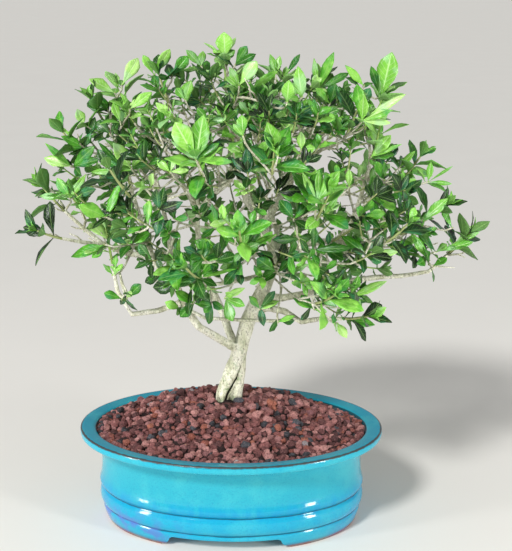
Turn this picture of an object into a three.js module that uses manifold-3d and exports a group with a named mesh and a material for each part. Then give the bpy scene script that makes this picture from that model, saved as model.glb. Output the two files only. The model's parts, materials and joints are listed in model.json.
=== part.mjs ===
import * as THREE from 'three';
import { mergeVertices } from 'three/addons/utils/BufferGeometryUtils.js';
import Module from 'manifold-3d';

// A gardenia grown as a small tree in a glazed oval pot topped with lava gravel.
// Millimetres, +Z up. X runs along the pot's long side, and -Y is the front.
// Everything is laid out from the middle of the pot's foot. The last lines move the whole
// group so that its origin is the bottom centre of the plant and pot together.

const wasm = await Module();
wasm.setup();

const gap = 0.35; // air left between two pieces that touch

// ---- pot ----
const rimLength = 305; // over the lip, along X
const rimWidth = 224; // over the lip, along Y
const potSegments = 28;
const lipReach = 20.5; // how far the lip stands out past the wall
const wallRadius = rimLength / 2 - lipReach; // half the wall's length, which the profile follows
const ovalInset = (rimLength - rimWidth) / 2; // how much less the half width is
const evenRadius = wallRadius - 22; // inside this the ovals keep their proportions
const floorTop = 19;
const floorUnderside = 12.6;
const footCutHeight = 12;
const footCutHalf = 64; // half the length of the cut-away in the foot, at the table
// The swept end of the cut-away, as [distance in from its end, height]. A short straight
// start is followed by the middle and end points of two curves.
const footSweep = [[0, -1], [2, 1.5], [8, 4], [9, 8], [10, footCutHeight], [16, footCutHeight]];
const drainHoleRadius = 10;
const drainHoleX = 62;
const drainHoleSides = 16;

// Each point is [distance out from the wall line, height].
const outerProfile = [
  [-20, 0], [-5.5, 0], [-4, 2], [-1.5, 9], [0, 15.2], [-2.2, 17], [1.2, 19], [2.8, 26], [1.5, 33.4],
  [-1.2, 35.5], [1.8, 38], [1, 50], [-0.6, 70], [0.8, 80], [3.5, 86], [9, 89.5],
  [19, 90.5], [20.5, 93], [20.5, 96.4], [19, 98], [12, 97], [6, 96.6], [4.2, 94.5], [3.5, 92],
];
const innerProfile = [[-6.5, 85], [-8.5, 60], [-9.5, 23], [-14, floorTop]];
const footInner = [-22, floorUnderside];

// ---- drain screens ----
const screenSide = 34;
const screenThickness = 1.2;
const screenHole = 12;
const screenBar = 3; // between two holes of the screen

// ---- soil and gravel ----
const soilEdge = 78; // height of the soil at the pot's wall
const soilCrown = 103; // and at its highest point
const soilRadius = wallRadius - 7.5;
const soilRings = 2;
const gravelRadius = wallRadius - 1.9;
const gravelEdge = 89; // height of the gravel at its edge
const gravelCrown = 114; // and at its highest point, without the grains
const grainPitch = 9.2; // distance between the lattice points of the gravel's relief
const grainHeight = 4.8;
const hollowRange = 2.4; // how much the points between the grains differ in height
const grainJitter = 0.42; // how far a lattice point may stray, as part of the pitch
const grainSeed = 11;
const moundX = -5; // the highest point of the heap
const moundY = 26;
const moundPower = 2.2; // above 1 the top is rounder and the sides are steeper

// ---- trunk and limbs ----
// The trunk and the lobe fused to its right side, as [x, y, z, radius].
const trunkRoute = [
  [-10.5, 20, 64, 8.6], [-10.5, 20, 96, 8.2], [-10.2, 20, 114, 7.9], [-6, 21, 130, 8.3],
  [1, 22, 147, 9], [7, 22, 164, 8.2], [12.5, 23, 186, 7.4], [17, 26, 202, 8],
  [30, 32, 227, 7.2], [41, 42, 256, 5.6], [37, 48, 279, 4.8], [24, 56, 300, 4.2],
  [11, 64, 318, 3.6], [3, 68, 345, 2.8], [-1, 66, 372, 1.7],
];
const lobeRoute = [
  [3.6, 23, 64, 6.6], [3.6, 23, 96, 6.5], [3.4, 23, 114, 6.2], [6, 23, 130, 6],
  [8.5, 22.5, 148, 5.6], [10, 22.5, 166, 5], [12, 23, 182, 3.8],
];
// Each limb starts inside the one that it grows from and thins from one radius to the other.
const limbs = [
  // low on the left
  { from: 5, to: 1.9, route: [
    [6, 19, 170], [-6, 14, 180], [-27, 2, 194], [-39, -6, 212], [-50, -12, 239], [-55, -13, 270],
    [-61, -8, 308], [-72, 0, 348],
  ] },
  { from: 3.4, to: 1.8, route: [
    [-44, -9, 228], [-58, -18, 223], [-79, -26, 221], [-96, -32, 221], [-104, -33, 236],
    [-111, -28, 270],
  ] },
  { from: 4, to: 1.8, route: [
    [-52, -12, 246], [-64, -12, 259], [-79, -13, 275], [-80, -16, 298], [-86, -18, 318],
    [-93, -18, 342],
  ] },
  { from: 3.4, to: 1.7, route: [
    [-76, -12, 273], [-109, -18, 280], [-128, -20, 292], [-158, -15, 318],
  ] },
  { from: 2.6, to: 1.6, route: [[-118, -19, 285], [-134, -30, 290], [-156, -43, 297]] },
  // behind on the left
  { from: 5, to: 1.8, route: [
    [6, 26, 163], [-3, 37, 180], [-13, 46, 205], [-30, 50, 244], [-36, 42, 292],
    [-34, 36, 330], [-29, 32, 366],
  ] },
  { from: 3.4, to: 1.8, route: [[-35, 40, 306], [-16, 22, 331], [8, 6, 352], [11, -6, 386]] },
  { from: 3.2, to: 1.8, route: [[-36, 38, 312], [-54, 48, 338], [-88, 66, 374]] },
  // right
  { from: 4.6, to: 1.8, route: [
    [19, 27, 206], [33, 16, 215], [52, 0, 217], [70, -18, 211], [96, -32, 220], [112, -38, 221],
  ] },
  { from: 4.2, to: 1.8, route: [
    [28, 32, 224], [54, 18, 225], [82, 8, 235], [118, 1, 248], [160, 0, 254], [188, -1, 256],
    [212, 2, 276],
  ] },
  { from: 4.6, to: 1.8, route: [
    [38, 40, 248], [58, 32, 270], [84, 24, 282], [120, 19, 282], [151, 14, 283], [184, 10, 304],
  ] },
  { from: 3.4, to: 1.8, route: [[104, 22, 283], [118, 12, 302], [127, 0, 336], [136, -6, 372]] },
  { from: 4.2, to: 1.8, route: [
    [30, 52, 290], [46, 64, 315], [62, 78, 342], [83, 88, 361], [112, 94, 372],
  ] },
  // towards the front and the back
  { from: 3, to: 1.7, route: [[41, 40, 264], [31, 12, 272], [19, -10, 274], [6, -28, 278]] },
  { from: 3.2, to: 1.7, route: [[36, 37, 244], [24, 4, 250], [0, -24, 251], [-26, -44, 254]] },
  { from: 3.8, to: 1.8, route: [[40, 46, 258], [44, 76, 272], [36, 108, 292], [22, 132, 322]] },
];
const trunkBranching = 6; // twigs grow from the stretch between the last points of the trunk
const trunkSides = 8;
const limbSides = 5;
const limbStep = 25; // the rings along a limb are about this far apart
const trunkStep = 20;

// ---- crown ----
const crownCentre = new THREE.Vector3(25, 14, 318);
// How far the leaves reach from the centre, every 22.5 degrees from +X by way of +Z.
const crownReach = [
  215, 157, 180, 156, 150, 165, 190, 203, 222, 185, 140, 120, 99, 125, 165, 170,
];
const crownDepth = 158; // their reach to the front and to the back
// The shoots that give the crown its outline and its front, as the ends of their twigs.
const leadingShoots = [
  [-4, 30, 430], [-58, 22, 412], [-116, 8, 392], [-142, -4, 368], [137, 30, 402], [80, 36, 412],
  [110, -20, 392], [166, 8, 348], [84, -62, 242], [-15, -95, 362], [-84, -80, 345], [84, -88, 328],
  [45, -98, 370], [-21, -80, 268], [18, -98, 305], [-100, 45, 400], [38, 60, 412],
];
const leafAllowance = 42; // a twig ends this far inside the reach, and its leaves fill the rest
const innerAllowance = 88; // every third twig ends this far inside it
const directionCount = 58; // directions tried round the crown
const directionFloor = -0.66; // none looks down more steeply than this
const shootSpacing = 65; // no two leafy shoots start closer together
const goldenAngle = Math.PI * (3 - Math.sqrt(5));
const twigFrom = 2;
const twigTo = 1.3;
const twigSides = 3;
const shortestTwig = 20;
const twigBow = 0.08; // how far it bows outwards, as part of its length
const twigLift = 0.9; // how strongly its end turns up

// ---- leafy shoots ----
const stemLength = 25;
const stemFrom = 1.5;
const stemTo = 1.15;
const leafLength = 34;
const leafWidth = 15.5;
// The blade's sections: where along its length, what part of the full width, and how thick.
const leafSections = [
  { at: 0, width: 0.055, thickness: 0.7 },
  { at: 0.3, width: 0.62, thickness: 1.2 },
  { at: 0.68, width: 1, thickness: 1.1 },
];
const leafPairs = [
  { height: 0.3, spread: 66, size: 1 },
  { height: 0.66, spread: 50, size: 0.94 },
  { height: 0.98, spread: 24, size: 0.72 },
];
const stemSteps = 2;
const stemSides = 3;
const stemTries = 16;
const stemLean = 0.15; // how far a stem bends up, as part of its length
const stemLeanStep = 0.16; // how much further it may lean at each try
const leafTries = 14;
const leafTurn = 0.12; // how far a leaf strays from its place in the pair at the first try
const leafTurnStep = 0.05; // and how much further at each later try
const leafSizes = [0.78, 1.08];
const leafDroops = [0.05, 0.27]; // how far the point bends down, as part of the length
const leafFolds = [0.12, 0.37]; // how far the edges stand up, as part of the half width
const leafTwist = 0.6; // in radians, from one side to the other
const shootSeed = 5;
const youngHeight = 385; // shoots above this are often young
const youngShareHigh = 0.6;
const youngShareLow = 0.2;

const up = new THREE.Vector3(0, 0, 1);
const materials = {
  glaze: new THREE.MeshStandardMaterial({ color: 0x2ba6b4, roughness: 0.16, metalness: 0 }),
  screen: new THREE.MeshStandardMaterial({ color: 0x23282a, roughness: 0.6, metalness: 0 }),
  soil: new THREE.MeshStandardMaterial({ color: 0x3a2c23, roughness: 0.95, metalness: 0 }),
  lava: new THREE.MeshStandardMaterial({ color: 0x6b3b36, roughness: 0.9, metalness: 0 }),
  bark: new THREE.MeshStandardMaterial({ color: 0xb3ad8c, roughness: 0.8, metalness: 0 }),
  leaf: new THREE.MeshStandardMaterial({ color: 0x2f7d24, roughness: 0.35, metalness: 0 }),
  youngLeaf: new THREE.MeshStandardMaterial({ color: 0x7fc242, roughness: 0.4, metalness: 0 }),
};

const plant = new THREE.Group();

function addPiece(name, geometry, material) {
  const mesh = new THREE.Mesh(geometry, material.clone());
  mesh.name = name;
  plant.add(mesh);
}

// A seeded random number source, so that the same tree grows every time.
function randomSource(seed) {
  let state = seed >>> 0;
  return () => {
    state = (state + 0x6d2b79f5) >>> 0;
    let mixed = Math.imul(state ^ (state >>> 15), state | 1);
    mixed ^= mixed + Math.imul(mixed ^ (mixed >>> 7), mixed | 61);
    return ((mixed ^ (mixed >>> 14)) >>> 0) / 4294967296;
  };
}

function toSolid(geometry) {
  const bare = geometry.clone();
  bare.deleteAttribute('normal');
  bare.deleteAttribute('uv');
  const merged = mergeVertices(bare, 1e-4);
  const corners = merged.index.array;
  const triangles = [];
  for (let i = 0; i < corners.length; i += 3) {
    const [a, b, c] = corners.slice(i, i + 3);
    if (a !== b && b !== c && c !== a) triangles.push(a, b, c);
  }
  return new wasm.Manifold(new wasm.Mesh({
    numProp: 3,
    vertProperties: new Float32Array(merged.attributes.position.array),
    triVerts: new Uint32Array(triangles),
  }));
}

function toGeometry(solid) {
  const mesh = solid.getMesh();
  const geometry = new THREE.BufferGeometry();
  geometry.setAttribute('position', new THREE.BufferAttribute(mesh.vertProperties, 3));
  geometry.setIndex(new THREE.BufferAttribute(mesh.triVerts, 1));
  geometry.computeVertexNormals();
  return geometry;
}

// The biggest of a solid's separate bodies. Crumbs that a cut leaves loose are dropped.
function mainBody(solid) {
  const bodies = solid.decompose();
  return bodies.reduce((best, body) => (body.volume() > best.volume() ? body : best));
}

// A closed skin over a row of rings of points. A ring of one point closes its end to a tip.
// Neighbouring quads are split the opposite way, so both faces of a thin blade are split alike.
function loft(rings) {
  const starts = [];
  let count = 0;
  for (const ring of rings) {
    starts.push(count);
    count += ring.length;
  }
  const index = [];
  for (let i = 0; i + 1 < rings.length; i++) {
    const here = starts[i];
    const next = starts[i + 1];
    const sides = rings[i].length;
    for (let j = 0; j < sides; j++) {
      const k = (j + 1) % sides;
      if (rings[i + 1].length === 1) index.push(here + j, here + k, next);
      else if (j % 2) index.push(here + j, here + k, next + j, here + k, next + k, next + j);
      else index.push(here + j, here + k, next + k, here + j, next + k, next + j);
    }
  }
  const last = starts[rings.length - 1];
  for (let j = 1; j + 1 < rings[0].length; j++) index.push(0, j + 1, j);
  for (let j = 1; j + 1 < rings.at(-1).length; j++) index.push(last, last + j, last + j + 1);
  const geometry = new THREE.BufferGeometry().setFromPoints(rings.flat());
  geometry.setIndex(index);
  return geometry;
}

// A tapered tube along a curve. radiusAt gives the radius at a fraction of its length.
function taperedTube(curve, steps, sides, radiusAt) {
  const frames = curve.computeFrenetFrames(steps, false);
  const rings = [];
  for (let i = 0; i <= steps; i++) {
    const centre = curve.getPointAt(i / steps);
    const radius = radiusAt(i / steps);
    const ring = [];
    for (let j = 0; j < sides; j++) {
      const angle = (2 * Math.PI * j) / sides;
      ring.push(centre.clone()
        .addScaledVector(frames.normals[i], radius * Math.cos(angle))
        .addScaledVector(frames.binormals[i], radius * Math.sin(angle)));
    }
    rings.push(ring);
  }
  return loft(rings);
}

// ---- pot ----

// Turned round the axis, then pressed in along Y so that every level is an oval
// whose half width is ovalInset less than its half length.
function turnOval(profile, segments) {
  const outline = profile.map(([radius, height]) => new THREE.Vector2(radius, height));
  const geometry = new THREE.LatheGeometry(outline, segments);
  geometry.rotateX(Math.PI / 2);
  const position = geometry.attributes.position;
  for (let i = 0; i < position.count; i++) {
    const radius = Math.max(Math.hypot(position.getX(i), position.getY(i)), evenRadius);
    position.setY(i, position.getY(i) * (radius - ovalInset) / radius);
  }
  return toSolid(geometry);
}

function fromWall([out, height]) {
  return [wallRadius + out, height];
}

function buildPot() {
  const profile = [
    [0, floorUnderside],
    ...[footInner, ...outerProfile, ...innerProfile].map(fromWall),
    [0, floorTop],
  ];
  let pot = turnOval(profile, potSegments);
  pot = pot.subtract(footCutaway());
  for (const side of [-1, 1]) pot = pot.subtract(drainHole(side * drainHoleX));
  return pot;
}

// The foot is cut away at the front and the back, with swept ends.
function footCutaway() {
  const left = footSweep.map(([inward, height]) => [inward - footCutHalf, height]);
  const right = left.map(([x, height]) => [-x, height]).reverse();
  const outline = new THREE.Shape();
  outline.moveTo(...left[0]);
  outline.lineTo(...left[1]);
  outline.quadraticCurveTo(...left[2], ...left[3]);
  outline.quadraticCurveTo(...left[4], ...left[5]);
  outline.lineTo(...right[0]);
  outline.quadraticCurveTo(...right[1], ...right[2]);
  outline.quadraticCurveTo(...right[3], ...right[4]);
  outline.lineTo(...right[5]);
  const cut = new THREE.ExtrudeGeometry(outline, {
    depth: rimWidth,
    bevelEnabled: false,
    curveSegments: 3,
  });
  cut.rotateX(Math.PI / 2);
  cut.translate(0, rimWidth / 2, 0);
  return toSolid(cut);
}

function drainHole(x) {
  const hole = new THREE.CylinderGeometry(
    drainHoleRadius, drainHoleRadius, floorTop, drainHoleSides,
  );
  hole.rotateX(Math.PI / 2);
  hole.translate(x, 0, (floorTop + floorUnderside) / 2);
  return toSolid(hole);
}

// ---- drain screens ----

function buildScreen(x) {
  let screen = toSolid(new THREE.BoxGeometry(screenSide, screenSide, screenThickness));
  const step = (screenHole + screenBar) / 2;
  for (const [column, row] of [[-1, -1], [-1, 1], [1, -1], [1, 1]]) {
    const hole = new THREE.BoxGeometry(screenHole, screenHole, screenSide);
    hole.translate(column * step, row * step, 0);
    screen = screen.subtract(toSolid(hole));
  }
  return screen.translate([x, 0, floorTop + gap + screenThickness / 2]);
}

function screenPocket(x) {
  const side = screenSide + 2 * gap;
  const pocket = new THREE.BoxGeometry(side, side, 2 * (screenThickness + 2 * gap));
  pocket.translate(x, 0, floorTop);
  return toSolid(pocket);
}

// ---- soil and gravel ----

// The top of the soil from its edge to the axis.
function soilTop(lift) {
  const points = [];
  for (let i = 0; i <= soilRings; i++) {
    const part = i / soilRings;
    const height = soilEdge + (soilCrown - soilEdge) * part * (2 - part);
    points.push([soilRadius * (1 - part), height + lift]);
  }
  return points;
}

function buildSoil(trunkHole) {
  const [, middle, low, corner] = innerProfile.map(fromWall);
  const profile = [
    [0, floorTop + gap],
    [corner[0] - gap, corner[1] + gap],
    [low[0] - gap, low[1] + gap],
    [middle[0] - gap, middle[1]],
    ...soilTop(0),
  ];
  let soil = turnOval(profile, potSegments);
  for (const side of [-1, 1]) soil = soil.subtract(screenPocket(side * drainHoleX));
  return mainBody(soil.subtract(trunkHole));
}

// Height of the heaped gravel, without its grains.
function moundHeight(x, y) {
  const halfLength = gravelRadius;
  const halfWidth = gravelRadius - ovalInset;
  const fromMiddle = Math.min(1, Math.hypot(x / halfLength, y / halfWidth));
  const shift = 1 - fromMiddle ** 2;
  const across = Math.hypot((x - moundX * shift) / halfLength, (y - moundY * shift) / halfWidth);
  return gravelCrown - (gravelCrown - gravelEdge) * Math.min(1, across) ** moundPower;
}

// A slab whose top is a triangular lattice. One lattice point in three stands up as a grain.
function grainSlab() {
  const random = randomSource(grainSeed);
  const rowPitch = grainPitch * Math.sqrt(3) / 2;
  const rows = 2 * Math.ceil(rimWidth / 2 / rowPitch);
  const columns = 2 * Math.ceil(rimLength / 2 / grainPitch);
  const jitter = () => (random() - 0.5) * grainPitch * grainJitter;
  const top = [];
  for (let row = 0; row <= rows; row++) {
    for (let column = 0; column <= columns; column++) {
      const x = (column - columns / 2 + (row % 2) / 2) * grainPitch + jitter();
      const y = (row - rows / 2) * rowPitch + jitter();
      const isGrain = (((column - Math.floor(row / 2) - row) % 3) + 3) % 3 === 0;
      const rise = isGrain ? grainHeight * (0.7 + 0.6 * random()) : hollowRange * (random() - 0.5);
      top.push(new THREE.Vector3(x, y, moundHeight(x, y) + rise));
    }
  }
  return toSolid(latticeSlab(top, rows, columns, soilEdge - 20));
}

// Closes a lattice of points with a flat bottom and side walls.
function latticeSlab(top, rows, columns, bottom) {
  const width = columns + 1;
  const at = (row, column) => row * width + column;
  const under = top.length;
  const points = [...top, ...top.map((point) => new THREE.Vector3(point.x, point.y, bottom))];
  const index = [];
  const face = (a, b, c) => index.push(a, b, c, under + a, under + c, under + b);
  const wall = (a, b) => index.push(a, under + a, under + b, a, under + b, b);
  for (let row = 0; row < rows; row++) {
    for (let column = 0; column < columns; column++) {
      const [a, b] = [at(row, column), at(row, column + 1)];
      const [c, d] = [at(row + 1, column), at(row + 1, column + 1)];
      if (row % 2) {
        face(a, b, d);
        face(a, d, c);
      } else {
        face(a, b, c);
        face(b, d, c);
      }
    }
    wall(at(row, columns), at(row + 1, columns));
    wall(at(row + 1, 0), at(row, 0));
  }
  for (let column = 0; column < columns; column++) {
    wall(at(0, column), at(0, column + 1));
    wall(at(rows, column + 1), at(rows, column));
  }
  const geometry = new THREE.BufferGeometry().setFromPoints(points);
  geometry.setIndex(index);
  return geometry;
}

function buildGravel(trunkHole) {
  const [upper] = innerProfile.map(fromWall);
  const bounds = turnOval([
    [0, soilEdge - 10],
    [upper[0] - 2, soilEdge - 10],
    [upper[0] - 2 * gap, upper[1] - gap],
    [gravelRadius, gravelEdge],
    [gravelRadius, gravelCrown + 20],
    [0, gravelCrown + 20],
  ], potSegments);
  const below = turnOval([
    [0, 30],
    [wallRadius, 30],
    [wallRadius, soilEdge + gap],
    ...soilTop(gap),
  ], potSegments);
  return mainBody(grainSlab().intersect(bounds).subtract(below).subtract(trunkHole));
}

// ---- wood ----

function curveThrough(route) {
  return new THREE.CatmullRomCurve3(route.map(([x, y, z]) => new THREE.Vector3(x, y, z)));
}

// The radius at a fraction of a route's length, from the radii at its points.
function radiusAlong(route, extra) {
  const travelled = [0];
  for (let i = 1; i < route.length; i++) {
    const step = Math.hypot(...[0, 1, 2].map((axis) => route[i][axis] - route[i - 1][axis]));
    travelled.push(travelled[i - 1] + step);
  }
  return (fraction) => {
    const distance = fraction * travelled[route.length - 1];
    let i = 1;
    while (i < route.length - 1 && travelled[i] < distance) i++;
    const part = (distance - travelled[i - 1]) / (travelled[i] - travelled[i - 1]);
    return THREE.MathUtils.lerp(route[i - 1][3], route[i][3], part) + extra;
  };
}

// The trunk with its lobe. With a clearance it is the hole that they stand in.
function buildTrunk(clearance) {
  let trunk = null;
  for (const route of [trunkRoute, lobeRoute]) {
    const lowered = route.map((point) => [...point]);
    lowered[0][2] -= clearance;
    const steps = Math.round(curveThrough(route).getLength() / trunkStep);
    const radiusAt = radiusAlong(route, clearance / Math.cos(Math.PI / trunkSides));
    const tube = toSolid(taperedTube(curveThrough(lowered), steps, trunkSides, radiusAt));
    trunk = trunk ? trunk.add(tube) : tube;
  }
  return trunk;
}

// Where shoots start, and which way they point.
const shoots = [];

// Points along the wood grown so far, from which a twig may start.
const anchors = [];

function noteWood(curve, steps) {
  for (let i = 1; i <= steps; i++) {
    const before = curve.getPointAt((i - 1) / steps);
    const after = curve.getPointAt(i / steps);
    for (const part of [0, 0.3, 0.6]) anchors.push(before.clone().lerp(after, part));
  }
}

function noteShoot(curve, pairs) {
  shoots.push({ position: curve.getPointAt(1), direction: curve.getTangentAt(1), pairs });
}

function growLimb(limb) {
  const curve = curveThrough(limb.route);
  const steps = Math.round(curve.getLength() / limbStep);
  noteWood(curve, steps);
  noteShoot(curve, leafPairs.length);
  const radiusAt = (part) => THREE.MathUtils.lerp(limb.from, limb.to, part);
  return toSolid(taperedTube(curve, steps, limbSides, radiusAt));
}

// The place in a given direction that lies an allowance inside the crown's reach.
function crownPlace(direction, allowance) {
  const count = crownReach.length;
  const turn = (Math.atan2(direction.z, direction.x) / (2 * Math.PI) + 1) * count;
  const before = Math.floor(turn);
  const [from, to] = [crownReach[before % count], crownReach[(before + 1) % count]];
  const reach = THREE.MathUtils.lerp(from, to, turn - before);
  return new THREE.Vector3(
    direction.x * (reach - allowance),
    direction.y * (crownDepth - allowance),
    direction.z * (reach - allowance),
  ).add(crownCentre);
}

// Directions spread evenly over the crown, from the top down.
function crownDirection(i) {
  const z = 1 - ((i + 0.5) / directionCount) * (1 - directionFloor);
  const flat = Math.sqrt(1 - z * z);
  return new THREE.Vector3(flat * Math.cos(i * goldenAngle), flat * Math.sin(i * goldenAngle), z);
}

// The nearest wood that a twig can leave while growing outwards to its end.
function nearestAnchor(end, outward) {
  let best = null;
  let bestCost = Infinity;
  for (const anchor of anchors) {
    const reach = end.clone().sub(anchor);
    const distance = reach.length();
    if (distance < shortestTwig) continue;
    const cost = distance * (1.6 - reach.dot(outward) / distance);
    if (cost < bestCost) {
      best = anchor;
      bestCost = cost;
    }
  }
  return best;
}

function growTwig(end, pairs) {
  const outward = end.clone().sub(crownCentre).normalize();
  const start = nearestAnchor(end, outward);
  const span = end.distanceTo(start);
  const facing = outward.clone().addScaledVector(up, twigLift).normalize();
  const curve = new THREE.CubicBezierCurve3(
    start,
    start.clone().lerp(end, 1 / 3).addScaledVector(outward, span * twigBow),
    end.clone().addScaledVector(facing, -span / 3),
    end,
  );
  const steps = Math.max(2, Math.round(span / limbStep));
  noteWood(curve, steps);
  noteShoot(curve, pairs);
  const radiusAt = (part) => THREE.MathUtils.lerp(twigFrom, twigTo, part);
  return toSolid(taperedTube(curve, steps, twigSides, radiusAt));
}

// Twigs to the shoots that show, then to every direction of the crown that is still bare.
function growTwigs() {
  const twigs = leadingShoots.map((place) => (
    growTwig(new THREE.Vector3(...place), leafPairs.length)
  ));
  for (let i = 0; i < directionCount; i++) {
    const inner = i % 3 === 2;
    const end = crownPlace(crownDirection(i), inner ? innerAllowance : leafAllowance);
    if (shoots.some((shoot) => shoot.position.distanceTo(end) < shootSpacing)) continue;
    twigs.push(growTwig(end, leafPairs.length - (inner ? 1 : 0)));
  }
  return twigs;
}

function buildWood() {
  const trunkCurve = curveThrough(trunkRoute.slice(-trunkBranching));
  noteWood(trunkCurve, trunkBranching - 1);
  noteShoot(trunkCurve, leafPairs.length);
  const parts = [buildTrunk(0), ...limbs.map(growLimb), ...growTwigs()];
  return parts.reduce((wood, part) => wood.add(part));
}

// ---- leafy shoots ----

// One blade from its stalk: folded up a little along the midrib, bent down towards its point.
function leafSkin(root, along, face, size, droop, fold, firstSection) {
  const side = new THREE.Vector3().crossVectors(along, face);
  const length = leafLength * size;
  const middleAt = (part) => root.clone()
    .addScaledVector(along, part * length)
    .addScaledVector(face, -droop * part * part * length);
  const rings = [];
  for (const section of leafSections.slice(firstSection)) {
    const middle = middleAt(section.at);
    const half = section.width * leafWidth * size / 2;
    const edge = (sign) => middle.clone()
      .addScaledVector(side, sign * half)
      .addScaledVector(face, fold * half);
    const skin = (sign) => middle.clone().addScaledVector(face, sign * section.thickness / 2);
    rings.push([skin(1), edge(1), skin(-1), edge(-1)]);
  }
  rings.push([middleAt(1)]);
  return toSolid(loft(rings));
}

function boxesMeet(a, b, distance) {
  return [0, 1, 2].every((axis) => (
    a.min[axis] - distance < b.max[axis] && b.min[axis] - distance < a.max[axis]
  ));
}

function isClear(solid, others, distance) {
  const box = solid.boundingBox();
  return others.every((other) => !boxesMeet(box, other.boundingBox(), distance)
    || solid.minGap(other, distance * 2) >= distance);
}

// A stem on the end of a twig. It leaves the twig straight and then leans over by a bend.
function stemSkin(shoot, length, bend) {
  const start = shoot.position.clone().addScaledVector(shoot.direction, gap);
  const curve = new THREE.QuadraticBezierCurve3(
    start,
    start.clone().addScaledVector(shoot.direction, length / 2),
    start.clone().addScaledVector(shoot.direction, length).addScaledVector(bend, length),
  );
  const radiusAt = (part) => THREE.MathUtils.lerp(stemFrom, stemTo, part);
  return { curve, solid: toSolid(taperedTube(curve, stemSteps, stemSides, radiusAt)) };
}

// Leans the stem further each time until it is clear of the wood and of the stems before it.
function growStem(shoot, random, obstacles) {
  const length = stemLength * (0.8 + 0.4 * random());
  let stem = null;
  for (let attempt = 0; attempt < stemTries; attempt++) {
    const bend = up.clone().multiplyScalar(stemLean);
    for (const axis of ['x', 'y', 'z']) bend[axis] += (random() - 0.5) * stemLeanStep * attempt;
    stem = stemSkin(shoot, length * (1 - 0.03 * attempt), bend);
    if (isClear(stem.solid, obstacles, gap * 0.9)) return stem;
  }
  return stem;
}

// Tries one leaf at changing angles until it is clear of everything else.
function growLeaf(shoot, pair, turn, random, obstacles, blades) {
  const root = shoot.stem.curve.getPointAt(pair.height);
  const axis = shoot.stem.curve.getTangentAt(pair.height);
  const across = new THREE.Vector3(-axis.y, axis.x, 0.01).normalize();
  for (let attempt = 0; attempt < leafTries; attempt++) {
    const looseness = leafTurn + attempt * leafTurnStep;
    const angle = turn + (random() - 0.5) * Math.PI * looseness;
    const spread = THREE.MathUtils.degToRad(pair.spread + (random() - 0.5) * 90 * looseness);
    const size = pair.size * THREE.MathUtils.lerp(...leafSizes, random());
    const outward = across.clone().applyAxisAngle(axis, angle);
    const along = axis.clone()
      .multiplyScalar(Math.cos(spread))
      .addScaledVector(outward, Math.sin(spread));
    const face = axis.clone().addScaledVector(along, -axis.dot(along)).normalize();
    face.applyAxisAngle(along, (random() - 0.5) * leafTwist);
    const droop = THREE.MathUtils.lerp(...leafDroops, random());
    const fold = THREE.MathUtils.lerp(...leafFolds, random());
    const leaf = leafSkin(root, along, face, size, droop, fold, 0);
    const blade = leafSkin(root, along, face, size, droop, fold, 1);
    if (isClear(leaf, obstacles, gap) && isClear(blade, blades, gap)) return { leaf, blade };
  }
  return null;
}

function growShoots(wood) {
  const random = randomSource(shootSeed);
  const stems = [];
  for (const shoot of shoots) {
    shoot.stem = growStem(shoot, random, [wood, ...stems]);
    stems.push(shoot.stem.solid);
  }
  const grown = [];
  for (const shoot of shoots) {
    const obstacles = [wood, ...stems.filter((stem) => stem !== shoot.stem.solid), ...grown];
    const blades = [];
    const firstTurn = random() * 2 * Math.PI;
    shoot.solid = shoot.stem.solid;
    leafPairs.slice(-shoot.pairs).forEach((pair, level) => {
      for (const side of [0, 1]) {
        const turn = firstTurn + level * Math.PI / 2 + side * Math.PI;
        const found = growLeaf(shoot, pair, turn, random, obstacles, blades);
        if (!found) continue;
        blades.push(found.blade);
        grown.push(found.leaf);
        shoot.solid = shoot.solid.add(found.leaf);
      }
    });
    shoot.young = random() < (shoot.position.z > youngHeight ? youngShareHigh : youngShareLow);
  }
}

// ---- the whole ----

const trunkHole = buildTrunk(gap);
addPiece('pot', toGeometry(buildPot()), materials.glaze);
addPiece('drain_screen_left', toGeometry(buildScreen(-drainHoleX)), materials.screen);
addPiece('drain_screen_right', toGeometry(buildScreen(drainHoleX)), materials.screen);
addPiece('soil', toGeometry(buildSoil(trunkHole)), materials.soil);
addPiece('gravel', toGeometry(buildGravel(trunkHole)), materials.lava);

const wood = buildWood();
addPiece('wood', toGeometry(wood), materials.bark);

growShoots(wood);
shoots.forEach((shoot, i) => {
  const name = `spray_${String(i + 1).padStart(2, '0')}`;
  addPiece(name, toGeometry(shoot.solid), shoot.young ? materials.youngLeaf : materials.leaf);
});

const extent = new THREE.Box3().setFromObject(plant);
const middle = extent.getCenter(new THREE.Vector3());
plant.position.set(-middle.x, -middle.y, -extent.min.z);

export default plant;
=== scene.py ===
import itertools
import json
import math
import random

import bmesh
import bpy
from mathutils import Matrix, Vector, geometry, noise
from mathutils.bvhtree import BVHTree
from mathutils.kdtree import KDTree


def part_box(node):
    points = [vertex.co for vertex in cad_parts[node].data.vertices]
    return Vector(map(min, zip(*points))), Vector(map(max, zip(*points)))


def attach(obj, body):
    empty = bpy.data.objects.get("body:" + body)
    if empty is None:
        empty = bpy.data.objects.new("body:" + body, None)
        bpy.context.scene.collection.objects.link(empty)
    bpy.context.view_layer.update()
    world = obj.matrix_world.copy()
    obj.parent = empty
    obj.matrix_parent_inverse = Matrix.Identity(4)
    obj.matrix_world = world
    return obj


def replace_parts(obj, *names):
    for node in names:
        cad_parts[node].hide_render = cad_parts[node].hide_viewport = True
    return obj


# A gardenia grown as a small tree in a glazed oval pot topped with lava gravel.
# Blender works in metres. The dictionaries give millimetres from the middle of the pot's foot.

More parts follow.
